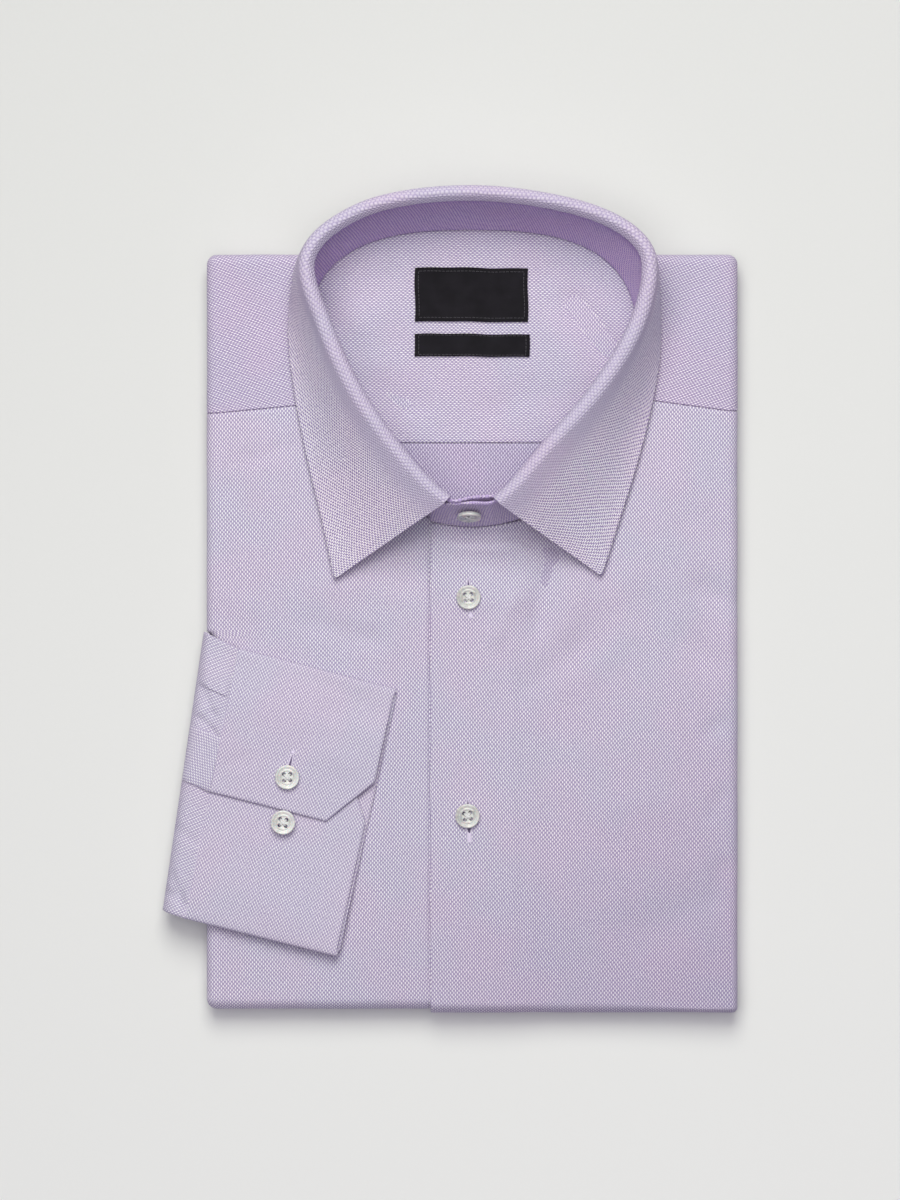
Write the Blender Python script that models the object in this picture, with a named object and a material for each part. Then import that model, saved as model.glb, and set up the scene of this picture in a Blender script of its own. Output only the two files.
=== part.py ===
"""A men's long sleeve dress shirt, buttoned and folded flat, as it lies on a table or in a shop drawer.

The two fronts and the yoke lie over a packet of hidden layers and turn round its edges. The collar stands up
round the neck and folds over, and the right sleeve comes out of the left edge of the packet and is laid back
over the front, so that its buttoned cuff shows.

All sizes are in millimetres. X runs across the shirt, +Y towards the collar and +Z up from the table.
Sizes in plan are drawn from the middle of the table area, and BASE_SHIFT puts the origin under the middle
of the shirt's bounding box.
"""

import math

import bmesh
import bpy
import numpy as np
from mathutils import Matrix, Vector

MM = 0.001
BASE_SHIFT = np.array([-0.025, 0.32, 0.0])
GAP = 0.3

# ---- the folded packet in plan ----
BODY_LEFT = -109.6
BODY_RIGHT = 129.6
BODY_TOP = 155.7
BODY_BOTTOM = -184.4
OVER_BOTTOM = -186.1  # the upper front turns round outside the under front
CENTRE_X = 10.0  # middle of the neck and of the buttons' overlap
PLACKET_EDGE_X = -7.9
UNDER_FRONT_EDGE_X = 26.0

# ---- levels above the table ----
CORE_TOP = 11.75
BACK_TOP = 13.3
FRONT_TOP = 14.8
SIDE_LIP = 6.3  # how low a side fold reaches, above the folded-up tail
OVER_FOOT_LIP = 0.3
UNDER_FOOT_LIP = 1.9

# ---- cloth ----
FRONT_WALL = 1.2
BACK_WALL = 1.0
STAND_WALL = 1.4
LEAF_WALL = 1.5
CUFF_WALL = 1.3
SLEEVE_WALL = 1.8
OVERLAP_RISE = FRONT_WALL + GAP

# ---- edge folds ----
SIDE_REACH = 4.5  # plan width of a rounded edge
FOOT_REACH = 5.0
SHARP_REACH = 2.4  # at the lower right corner, which is pressed sharper
FOLD_TURNS = [math.radians(a) for a in (25, 50, 75, 100, 130, 165)]

# ---- neck opening: half an ellipse in front, a squarer half behind ----
NECK_Y = 114.5
NECK_HALF_WIDTH = 75.7
NECK_FRONT = 82.2
NECK_BACK = 53.8
NECK_BACK_POWER = 2.7
SHOULDER_CLEAR = 0.6  # the shoulders' edges stand this far off the inner yoke's
STAND_LIFT = 0.9  # the leaning stand's inner edge comes down lower than its outer one

# ---- seams of the yoke, which slope down towards the shoulders ----
YOKE_SEAM_REACH = 80.0
YOKE_SEAM = {"left": (87.3, 0.094), "right": (89.8, 0.134)}  # height at that reach, slope
BACK_SEAM_Y = 70.6

# ---- where the sleeve presses the packet's left side in ----
PRESS_DEPTH = 2.4
PRESS_START_Y, PRESS_FULL_Y, PRESS_HOLD_Y, PRESS_END_Y = -14.1, -15.1, -42.0, -62.0
PRESS_FADE = 30.0

# Broad soft swells of the cloth: height, waves per millimetre in X and in Y, phase.
SWELLS = (
    {"height": 0.16, "across": 0.0046, "along": 0.0031, "phase": 0.4},
    {"height": 0.12, "across": -0.0062, "along": 0.0049, "phase": 2.1},
    {"height": 0.07, "across": 0.0105, "along": -0.0076, "phase": 4.0},
)

# Inner top edge of the collar stand, with the size of the leaf's roll over it. "way" runs from -1 at the
# front, round the left and the back (0), to 1 at the front again; past 1 the two ends of the stand overlap,
# the right one outside.
STAND_TOP = (
    {"way": -1.11, "x": 25.0, "y": 47.6, "z": 38.5, "roll": 2.4},
    {"way": -1.00, "x": 9.8, "y": 46.6, "z": 40.0, "roll": 2.4},
    {"way": -0.95, "x": -0.6, "y": 45.6, "z": 40.5, "roll": 2.4},
    {"way": -0.80, "x": -23.0, "y": 68.8, "z": 41.3, "roll": 3.0},
    {"way": -0.65, "x": -41.2, "y": 95.6, "z": 42.2, "roll": 3.1},
    {"way": -0.50, "x": -54.6, "y": 124.9, "z": 42.5, "roll": 2.7},
    {"way": -0.38, "x": -61.0, "y": 149.0, "z": 43.0, "roll": 2.3},
    {"way": -0.30, "x": -52.3, "y": 162.9, "z": 43.0, "roll": 2.1},
    {"way": -0.18, "x": -29.0, "y": 174.0, "z": 43.0, "roll": 2.4},
    {"way": 0.00, "x": 9.6, "y": 178.2, "z": 42.8, "roll": 2.7},
    {"way": 0.18, "x": 49.0, "y": 173.6, "z": 43.0, "roll": 2.4},
    {"way": 0.30, "x": 74.6, "y": 164.4, "z": 43.0, "roll": 2.1},
    {"way": 0.38, "x": 85.6, "y": 151.2, "z": 43.0, "roll": 2.3},
    {"way": 0.50, "x": 81.8, "y": 125.3, "z": 42.5, "roll": 2.7},
    {"way": 0.65, "x": 65.0, "y": 96.4, "z": 42.2, "roll": 3.1},
    {"way": 0.80, "x": 43.3, "y": 70.8, "z": 41.3, "roll": 3.0},
    {"way": 0.95, "x": 20.2, "y": 45.2, "z": 40.5, "roll": 2.4},
    {"way": 1.00, "x": 9.8, "y": 44.2, "z": 39.8, "roll": 2.4},
    {"way": 1.085, "x": -7.6, "y": 43.4, "z": 36.0, "roll": 2.4},
)
UNDER_STAND_INSET = 2.0  # the left end of the stand runs inside the right one
BACK_BOW, FRONT_BOW = 0.6, -1.4  # how far the stand bows out between its foot and its top
UNDER_STAND_WAYS = (-0.78, -0.90)
UNDER_NECK_X = (-36.0, -12.0)
OVER_STAND_WAYS = (0.78, 0.90)  # the right end's foot climbs onto the under front

# Free edge of the collar leaf, at the same ways round. The two ends are the collar's points.
LEAF_EDGE = (
    {"way": -0.953, "x": -52.0, "y": 9.2, "z": 17.3},
    {"way": -0.80, "x": -57.4, "y": 34.9, "z": 17.0},
    {"way": -0.65, "x": -65.9, "y": 71.8, "z": 16.9},
    {"way": -0.50, "x": -71.6, "y": 107.8, "z": 16.9},
    {"way": -0.42, "x": -71.2, "y": 130.0, "z": 16.9},
    {"way": -0.36, "x": -68.0, "y": 147.5, "z": 17.0},
    {"way": -0.30, "x": -60.5, "y": 161.0, "z": 12.0},
    {"way": -0.18, "x": -34.0, "y": 171.5, "z": 6.5},
    {"way": 0.00, "x": 10.0, "y": 176.0, "z": 4.0},
    {"way": 0.18, "x": 54.0, "y": 171.5, "z": 6.5},
    {"way": 0.30, "x": 83.0, "y": 161.5, "z": 12.0},
    {"way": 0.36, "x": 90.6, "y": 148.0, "z": 17.0},
    {"way": 0.42, "x": 93.4, "y": 130.0, "z": 16.9},
    {"way": 0.50, "x": 92.9, "y": 103.0, "z": 16.9},
    {"way": 0.65, "x": 85.7, "y": 67.3, "z": 16.9},
    {"way": 0.80, "x": 74.0, "y": 29.0, "z": 17.0},
    {"way": 0.953, "x": 68.2, "y": 10.6, "z": 17.3},
)
LEAF_END = 0.953
BACK_BULGE, SIDE_BULGE = math.radians(3), math.radians(8)

# ---- cuff, a buttoned band laid flat: its corners in plan ----
CUFF_CORNERS = {
    "seam_foot": (-119.0, -143.3),
    "free_foot": (-50.2, -160.4),
    "free_head": (-23.4, -40.3),
    "seam_head": (-95.2, -21.8),
}
CUFF_WIDTH = 123.5
CUFF_BACK_LEVEL = FRONT_TOP + GAP
CUFF_LAP_TOP = CUFF_BACK_LEVEL + 2 * CUFF_WALL + 0.4
UPPER_LAP_TOP = CUFF_LAP_TOP + CUFF_WALL + 0.4
UPPER_LAP_END = 0.47  # shares of the cuff's flat width
LOWER_LAP_END = 0.74
UPPER_MITRE = {"start": 0.65, "depth": 0.24}
LOWER_MITRE = {"start": 0.50, "depth": 0.24}
LAP_SETBACK = 0.017  # the laps stop short of the cuff's back layer

# ---- sleeve end, folded back over the packet's left edge ----
SLEEVE_FOLD_FOOT = (-129.6, -140.0)
SLEEVE_FOLD_HEAD = (-111.0, -14.2)
SLEEVE_TOP = 17.7
SLEEVE_LOW = 3.2
SLEEVE_FOLD_REACH = (3.4, 6.5)
PLEAT = {"edge": 0.82, "end": 0.95, "rise": 0.7}
PLACKET_SPAN = (0.472, 0.67)
PLACKET_WALL = 1.0

# ---- buttons ----
BUTTON_RADIUS = 5.5
BUTTON_PROFILE = ((4.6, 0.0), (5.3, 0.5), (5.5, 1.3), (5.0, 2.1), (4.2, 2.2), (3.3, 1.6), (0.0, 1.5))
BUTTON_SIDES = 24
BUTTON_HOLE_RADIUS = 0.75
BUTTON_HOLE_OFFSET = 1.35
FRONT_BUTTONS = {"front_button_upper": (8.3, 1.2), "front_button_lower": (7.9, -97.2)}
CUFF_BUTTONS = {"cuff_button_fastened": (-73.1, -79.6), "cuff_button_spare": (-75.0, -99.9)}
COLLAR_BUTTON_SHARE = 0.5  # of the stand's height
COLLAR_BUTTON_X = 8.6
COLLAR_BUTTON_DROOP = math.radians(5)  # it hangs nearer upright than the stand

# ---- neck labels, left bare: left, right, foot, head ----
LABELS = {"label_main": (-15.8, 35.1, 125.4, 149.6), "label_size": (-16.0, 35.8, 109.7, 119.8)}
LABEL_WALL = 1.0

CLOTH = {"kind": "cloth", "colour": (0.58, 0.515, 0.68), "roughness": 0.8}
SHELL = {"kind": "shell", "colour": (0.8, 0.8, 0.78), "roughness": 0.3}
SATIN = {"kind": "satin", "colour": (0.012, 0.012, 0.015), "roughness": 0.5}


# ---------------------------------------------------------------- small helpers


def smooth(share):
    share = min(1.0, max(0.0, share))
    return share * share * (3 - 2 * share)


def ramp(value, start, end):
    """0 at start, 1 at end, smooth between."""
    return smooth((value - start) / (end - start))


def spaced(start, end, count):
    return [float(v) for v in np.linspace(start, end, count)]


def blend_rows(rows, way, columns):
    """A smooth curve through the rows of a table, at one way round."""
    ways = [row["way"] for row in rows]
    i = min(max(int(np.searchsorted(ways, way)) - 1, 0), len(rows) - 2)
    before, after = max(i - 1, 0), min(i + 2, len(rows) - 1)
    points = [np.array([rows[k][c] for c in columns]) for k in (before, i, i + 1, after)]
    times = [ways[k] for k in (before, i, i + 1, after)]
    span = times[2] - times[1]
    t = (way - times[1]) / span
    leave = (points[2] - points[0]) / (times[2] - times[0]) * span
    arrive = (points[3] - points[1]) / (times[3] - times[1]) * span
    return (
        (2 * t**3 - 3 * t**2 + 1) * points[1]
        + (t**3 - 2 * t**2 + t) * leave
        + (3 * t**2 - 2 * t**3) * points[2]
        + (t**3 - t**2) * arrive
    )


# ---------------------------------------------------------------- heights of the packet


def swell(x, y):
    turns = (2 * math.pi * (s["across"] * x + s["along"] * y) + s["phase"] for s in SWELLS)
    return sum(s["height"] * math.sin(turn) for s, turn in zip(SWELLS, turns))


def back_level(x, y):
    """Top of the back and of the inner yoke, which droops towards the back of the neck."""
    droop = max(0.0, y - 151.0) ** 2 / 78.0
    return BACK_TOP + swell(x, y) - droop


def overlap_rise(x):
    """How much the upper front is lifted by the under front's edge."""
    return OVERLAP_RISE * (1 - ramp(x, UNDER_FRONT_EDGE_X + 1.5, UNDER_FRONT_EDGE_X + 20.0))


def press(x, y):
    """How far the sleeve presses the left side in at this place."""
    hold = ramp(y, PRESS_START_Y, PRESS_FULL_Y) * (1 - ramp(y, PRESS_HOLD_Y, PRESS_END_Y))
    return PRESS_DEPTH * hold * (1 - ramp(x, BODY_LEFT, BODY_LEFT + PRESS_FADE))


def body_level(x, y):
    """Top of the fronts and shoulders, rounding down at the edges, and 0 outside them."""
    inset = min(x - BODY_LEFT, BODY_RIGHT - x, BODY_TOP - y, y - BODY_BOTTOM)
    if inset < 0:
        return 0.0
    top = FRONT_TOP + swell(x, y) + (overlap_rise(x) if x > PLACKET_EDGE_X and y < BACK_SEAM_Y else 0)
    if inset >= SIDE_REACH:
        return top
    half = (top - SIDE_LIP) / 2
    return top - half + half * math.sqrt(1 - ((SIDE_REACH - inset) / SIDE_REACH) ** 2)


# ---------------------------------------------------------------- making solids


def material(name, look):
    made = bpy.data.materials.new(f"{name}_{look['kind']}")
    made.use_nodes = True
    shader = made.node_tree.nodes["Principled BSDF"]
    shader.inputs["Base Color"].default_value = (*look["colour"], 1.0)
    shader.inputs["Roughness"].default_value = look["roughness"]
    return made


def add_object(name, mesh, look, smooth_angle=None):
    mesh.materials.clear()
    mesh.materials.append(material(name, look))
    obj = bpy.data.objects.new(name, mesh)
    bpy.context.scene.collection.objects.link(obj)
    if smooth_angle is not None:
        mesh.shade_smooth()
        mesh.set_sharp_from_angle(angle=smooth_angle)
    return obj


def mesh_of(name, points, faces):
    mesh = bpy.data.meshes.new(name)
    mesh.from_pydata([tuple((np.array(p) + BASE_SHIFT) * MM) for p in points], [], faces)
    work = bmesh.new()
    work.from_mesh(mesh)
    bmesh.ops.recalc_face_normals(work, faces=work.faces)
    work.to_mesh(mesh)
    work.free()
    return mesh


def normals_of(grid):
    along = np.gradient(grid, axis=0)
    across = np.gradient(grid, axis=1)
    normal = np.cross(along, across)
    return normal / np.linalg.norm(normal, axis=2, keepdims=True)


def wall(name, grid, thickness, look, inward=1):
    """A closed cloth wall: the grid is its shown side, and inward (1 or -1) picks the side it thickens to."""
    grid = np.array(grid, float)
    rows, columns = grid.shape[:2]
    hidden = grid - normals_of(grid) * thickness * inward
    points = np.concatenate([grid.reshape(-1, 3), hidden.reshape(-1, 3)])
    other = rows * columns
    faces = []
    for r in range(rows - 1):
        for c in range(columns - 1):
            a = r * columns + c
            quad = (a, a + 1, a + columns + 1, a + columns)
            faces.append(quad)
            faces.append(tuple(other + k for k in reversed(quad)))
    rim = [(0, c) for c in range(columns)] + [(r, columns - 1) for r in range(1, rows)]
    rim += [(rows - 1, c) for c in range(columns - 2, -1, -1)] + [(r, 0) for r in range(rows - 2, 0, -1)]
    ring = [r * columns + c for r, c in rim]
    for a, b in zip(ring, ring[1:] + ring[:1]):
        faces.append((b, a, other + a, other + b))
    return add_object(name, mesh_of(name, points, faces), look, math.radians(40))


# ---------------------------------------------------------------- the hidden layers

# Section of the packet's rim from the table up: inset and height at the sides, and at the foot fold.
CORE_RIM = (
    {"inset": 2.4, "z": 0.0, "foot_inset": 9.0, "foot_z": 0.0},
    {"inset": 0.7, "z": 0.5, "foot_inset": 8.8, "foot_z": 0.7},
    {"inset": 0.1, "z": 1.5, "foot_inset": 8.6, "foot_z": 1.6},
    {"inset": 0.7, "z": 2.5, "foot_inset": 7.4, "foot_z": 3.5},
    {"inset": 2.2, "z": 3.0, "foot_inset": 6.4, "foot_z": 3.9},
    {"inset": 0.7, "z": 3.5, "foot_inset": 5.6, "foot_z": 4.3},
    {"inset": 0.1, "z": 4.5, "foot_inset": 5.0, "foot_z": 5.0},
    {"inset": 0.8, "z": 5.5, "foot_inset": 4.6, "foot_z": 5.6},
    {"inset": 2.4, "z": 5.9, "foot_inset": 4.4, "foot_z": 6.0},
    {"inset": 5.6, "z": 5.9, "foot_inset": 4.8, "foot_z": 6.4},
    {"inset": 5.6, "z": 7.9, "foot_inset": 4.2, "foot_z": 7.9},
    {"inset": 2.8, "z": 8.7, "foot_inset": 4.0, "foot_z": 8.7},
    {"inset": 1.9, "z": 9.7, "foot_inset": 3.9, "foot_z": 9.7},
    {"inset": 1.9, "z": 10.8, "foot_inset": 4.2, "foot_z": 10.8},
    {"inset": 3.0, "z": 11.4, "foot_inset": 5.0, "foot_z": 11.4},
    {"inset": 5.0, "z": CORE_TOP, "foot_inset": 6.5, "foot_z": CORE_TOP},
)
CORE_CORNER_RADIUS = 10.5
CORE_CORNER_STEPS = 5
CORE_SIDE_Y = (142.0, 100.0, 40.0, PRESS_START_Y, PRESS_FULL_Y, -28.0, -42.0, -52.0, -62.0, -120.0, -171.0)
CORE_END_STEPS = 4


def core_outline():
    """Places round the packet: a base point, the way in from the edge, and how much it is at the foot."""
    reach = CORE_CORNER_RADIUS
    places = []
    for y in CORE_SIDE_Y:
        places.append((BODY_LEFT, y, 1.0, 0.0, 0.0))
    corners = (
        (BODY_LEFT, BODY_BOTTOM, 1, 1, 180, 1),
        (BODY_RIGHT, BODY_BOTTOM, -1, 1, 270, 1),
        (BODY_RIGHT, BODY_TOP, -1, -1, 0, 0),
        (BODY_LEFT, BODY_TOP, 1, -1, 90, 0),
    )
    for index, (x, y, in_x, in_y, start, foot) in enumerate(corners):
        for step in range(CORE_CORNER_STEPS + 1):
            share = step / CORE_CORNER_STEPS
            angle = math.radians(start + 90 * share)
            way = (math.cos(angle), math.sin(angle))
            at_foot = (share if index == 0 else 1 - share) if foot else 0.0
            centre = (x + in_x * reach, y + in_y * reach)
            places.append(
                (centre[0] + way[0] * reach, centre[1] + way[1] * reach, -way[0], -way[1], at_foot)
            )
        if index in (0, 2):
            edge = BODY_BOTTOM if index == 0 else BODY_TOP
            ends = (BODY_LEFT + 18, BODY_RIGHT - 18) if index == 0 else (BODY_RIGHT - 18, BODY_LEFT + 18)
            for x_step in spaced(*ends, CORE_END_STEPS):
                places.append((x_step, edge, 0.0, 1.0 if index == 0 else -1.0, 1.0 if index == 0 else 0.0))
        if index == 1:
            for y_step in reversed(CORE_SIDE_Y):
                places.append((BODY_RIGHT, y_step, -1.0, 0.0, 0.0))
    return places


def make_core(look):
    places = core_outline()
    points = []
    for row in CORE_RIM:
        for x, y, in_x, in_y, foot in places:
            foot = smooth(1.6 * foot)
            inset = row["inset"] * (1 - foot) + row["foot_inset"] * foot
            z = row["z"] * (1 - foot) + row["foot_z"] * foot
            px, py = x + in_x * inset, y + in_y * inset
            points.append((px + press(px, py), py, z))
    count = len(places)
    faces = [tuple(range(count)), tuple(range(len(points) - count, len(points)))]
    for level in range(len(CORE_RIM) - 1):
        for k in range(count):
            a, b = level * count + k, level * count + (k + 1) % count
            faces.append((a, b, b + count, a + count))
    return add_object("folded_layers", mesh_of("folded_layers", points, faces), look, math.radians(50))


# ---------------------------------------------------------------- fronts, back and yoke


def folded_point(flat_x, flat_y, side_turn, end_turn, out_x, out_y, top, side_lip, end_lip, reaches):
    """A point of a cloth that rounds a packet's side, its end, or the corner between them."""
    turn = max(side_turn, end_turn)
    if turn == 0:
        return (flat_x, flat_y, top)
    if side_turn >= end_turn:
        angle = math.pi / 4 * end_turn / side_turn
    else:
        angle = math.pi / 2 - math.pi / 4 * side_turn / end_turn
    at_end = smooth(angle / (math.pi / 2))
    lip = side_lip * (1 - at_end) + end_lip * at_end
    reach = reaches[0] * (1 - at_end) + reaches[1] * at_end
    half = (top - lip) / 2
    out = reach * math.sin(turn)
    return (
        flat_x + out_x * out * math.cos(angle),
        flat_y + out_y * out * math.sin(angle),
        top - half * (1 - math.cos(turn)),
    )


def neck_edge_y(x):
    """Front half of the neckline at this place across, or None outside the neck."""
    share = (x - CENTRE_X) / NECK_HALF_WIDTH
    if abs(share) >= 1:
        return None
    return NECK_Y - NECK_FRONT * math.sqrt(1 - share * share)


def yoke_seam_y(x):
    height, slope = YOKE_SEAM["left" if x < CENTRE_X else "right"]
    return height - slope * (abs(x - CENTRE_X) - YOKE_SEAM_REACH)


def front_top_y(x, over):
    """Top edge of a front. The under front follows the end of the stand that moves in."""
    seam = yoke_seam_y(x)
    neck = neck_edge_y(x)
    if neck is None:
        return seam
    return min(seam, neck if over else neck + UNDER_STAND_INSET * ramp(x, *UNDER_NECK_X))


def front_reaches(x, y, over):
    """Plan width of the rounded side and foot here; the upper front's lower right corner is pressed sharp."""
    if not over:
        return SIDE_REACH, FOOT_REACH
    sharp = ramp(y, BODY_BOTTOM + 70, BODY_BOTTOM + 10)
    sharp_foot = ramp(x, BODY_RIGHT - 70, BODY_RIGHT - 10)
    return (
        SIDE_REACH + (SHARP_REACH - SIDE_REACH) * sharp,
        FOOT_REACH + (SHARP_REACH - FOOT_REACH) * sharp_foot,
    )


UNDER_FRONT_X = (26.0, 12.0, -2.0, -14.0, -27.0, -40.0, -50.0, -57.0, -60.3, -70.0, -86.0, -97.0)
OVER_FRONT_X = (-7.9, 0.0, 14.0, 27.5, 33.0, 40.0, 46.0, 58.0, 68.0, 76.0, 80.3, 90.0, 106.0, 117.0)
FRONT_SIDE_Y = (60.0, 30.0, 8.0, PRESS_START_Y, PRESS_FULL_Y, -28.0, -42.0, -52.0, -62.0, -90.0, -120.0,
                -150.0)


def make_front(name, over, look):
    out_x = 1 if over else -1
    edge = BODY_RIGHT if over else BODY_LEFT
    bottom = OVER_BOTTOM if over else BODY_BOTTOM
    foot_lip = OVER_FOOT_LIP if over else UNDER_FOOT_LIP
    columns = [(x, 0.0) for x in (OVER_FRONT_X if over else UNDER_FRONT_X)]
    columns += [(edge, turn) for turn in [0.0, *FOLD_TURNS]]
    side_top, side_foot = front_top_y(edge, over), bottom + FOOT_REACH
    shares = [0.0, *((side_top - y) / (side_top - side_foot) for y in FRONT_SIDE_Y), 1.0]
    rows = [(share, 0.0) for share in shares] + [(1.0, turn) for turn in FOLD_TURNS]
    grid = []
    for x, side_turn in columns:
        line = []
        for share, end_turn in rows:
            foot_reach = front_reaches(x, bottom, over)[1]
            flat_bottom = bottom + foot_reach
            top_y = front_top_y(x, over)
            y = top_y + (flat_bottom - top_y) * share
            side_reach = front_reaches(x, y, over)[0]
            flat_x = edge - out_x * side_reach if x == edge else x
            rise = overlap_rise(flat_x) if over else 0.0
            top = FRONT_TOP + swell(flat_x, y) + rise
            flat_x += 0 if over else press(flat_x, y)
            line.append(
                folded_point(
                    flat_x, y, side_turn, end_turn, out_x, -1, top, SIDE_LIP, foot_lip,
                    (side_reach, foot_reach),
                )
            )
        grid.append(line)
    return wall(name, grid, FRONT_WALL, look, inward=-1 if over else 1)


SHOULDER_ROW_SHARES = (0.0, 0.3, 0.6, 0.85, 1.0)
SHOULDER_COLUMN_SHARES = (0.0, 0.25, 0.5, 0.75, 1.0)


def neck_reach(y, clear):
    """Half width of the neck opening at this height."""
    if y <= NECK_Y:
        return (NECK_HALF_WIDTH + clear) * math.sqrt(1 - ((NECK_Y - y) / (NECK_FRONT + clear)) ** 2)
    share = (y - NECK_Y) / (NECK_BACK + clear)
    return (NECK_HALF_WIDTH + clear) * (1 - share**NECK_BACK_POWER) ** (1 / NECK_BACK_POWER)


def make_shoulder(name, right, look):
    out_x = 1 if right else -1
    edge = BODY_RIGHT if right else BODY_LEFT
    flat_top = BODY_TOP - SIDE_REACH
    flat_edge = edge - out_x * SIDE_REACH
    columns = [(share, 0.0) for share in SHOULDER_COLUMN_SHARES] + [(1.0, turn) for turn in FOLD_TURNS]
    rows = [(share, 0.0) for share in SHOULDER_ROW_SHARES] + [(1.0, turn) for turn in FOLD_TURNS]
    grid = []
    for column_share, side_turn in columns:
        line = []
        for row_share, end_turn in rows:
            seam = yoke_seam_y(CENTRE_X + out_x * NECK_HALF_WIDTH) + GAP
            neck_y = seam + (flat_top - seam) * row_share
            shown_y = neck_y + SIDE_REACH * math.sin(min(end_turn, math.pi / 2))
            inner = CENTRE_X + out_x * neck_reach(shown_y, SHOULDER_CLEAR)
            x = inner + (flat_edge - inner) * column_share
            seam_here = yoke_seam_y(x) + GAP
            y = seam_here + (flat_top - seam_here) * row_share
            top = FRONT_TOP + swell(x, y)
            line.append(
                folded_point(x, y, side_turn, end_turn, out_x, 1, top, SIDE_LIP, SIDE_LIP, (SIDE_REACH,) * 2)
            )
        grid.append(line)
    return wall(name, grid, FRONT_WALL, look, inward=1 if right else -1)


def make_back(look):
    """The back, seen inside the neck below the yoke's seam, runs under the fronts to the foot fold."""
    inset = 6.5
    xs = spaced(BODY_LEFT + inset, BODY_RIGHT - inset, 9)
    ys = spaced(BODY_BOTTOM + inset + 1.5, BACK_SEAM_Y, 9)
    grid = [[(x, y, back_level(x, y)) for y in ys] for x in xs]
    return wall("back", grid, BACK_WALL, look)


def make_yoke_back(look):
    grid = []
    for angle in np.radians(np.linspace(-90, 90, 19)):
        reach = abs(math.sin(angle)) ** (2 / NECK_BACK_POWER) * math.copysign(1, angle)
        x = CENTRE_X + NECK_HALF_WIDTH * reach
        head = NECK_Y + NECK_BACK * abs(math.cos(angle)) ** (2 / NECK_BACK_POWER)
        start = BACK_SEAM_Y + GAP
        line = []
        for share in (0.0, 0.25, 0.5, 0.7, 0.85, 0.94, 1.0):
            y = start + (head - start) * share
            line.append((x, y, back_level(x, y)))
        grid.append(line)
    return wall("yoke_back", grid, BACK_WALL, look)


# ---------------------------------------------------------------- collar


def neck_ring(way, inset):
    """The neckline seen from above, this share of the way round it, and moved in from the edge."""
    turns = np.radians(np.linspace(0, 180, 361))
    front = turns <= math.pi / 2
    power = np.where(front, 1.0, 2 / NECK_BACK_POWER)
    depth = np.where(front, NECK_FRONT, NECK_BACK) - inset
    across = (NECK_HALF_WIDTH - inset) * np.sin(turns) ** power
    along = -np.sign(np.cos(turns)) * depth * np.abs(np.cos(turns)) ** power
    run = np.concatenate([[0], np.cumsum(np.hypot(np.diff(across), np.diff(along)))])
    share = 1 - abs(way)
    place = abs(share) * run[-1]
    side = math.copysign(1, way) * (1 if share >= 0 else -1)
    x, y = float(np.interp(place, run, across)), float(np.interp(place, run, along))
    return CENTRE_X + side * x, NECK_Y + y


def stand_base(way):
    """Foot of the stand's inner face. The left end moves in, behind the right end."""
    inset = GAP + STAND_WALL + UNDER_STAND_INSET * ramp(way, *UNDER_STAND_WAYS)
    x, y = neck_ring(way, inset)
    rise = OVERLAP_RISE * ramp(way, *OVER_STAND_WAYS)
    return np.array([x, y, back_level(x, y) + STAND_LIFT + rise])


def stand_top(way):
    return blend_rows(STAND_TOP, way, ("x", "y", "z"))


def stand_column(way, shares):
    """The stand's inner face from foot to top."""
    base, top = stand_base(way), stand_top(way)
    bow = BACK_BOW + (FRONT_BOW - BACK_BOW) * ramp(abs(way), 0.7, 0.93)
    return [base + (top - base) * t + out_of_neck(way) * bow * 4 * t * (1 - t) for t in shares]


def make_stand(look):
    ways = spaced(-1.11, -0.80, 8) + spaced(-0.72, -0.48, 4) + spaced(-0.44, 0.44, 23)
    ways += spaced(0.48, 0.72, 4) + spaced(0.80, 1.085, 8)
    grid = [stand_column(way, (0.0, 0.25, 0.5, 0.75, 1.0)) for way in ways]
    return wall("collar_stand", grid, STAND_WALL, look, inward=1)


def out_of_neck(way):
    """The level direction away from the neck, square to the stand's top edge."""
    step = 0.02
    low, high = way - step, way + step
    if abs(way) > 0.95:
        low, high = (0.98, 1.04) if way > 0 else (-1.04, -0.98)
    run = stand_top(high)[:2] - stand_top(low)[:2]
    return np.array([-run[1], run[0], 0.0]) / np.linalg.norm(run)


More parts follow.
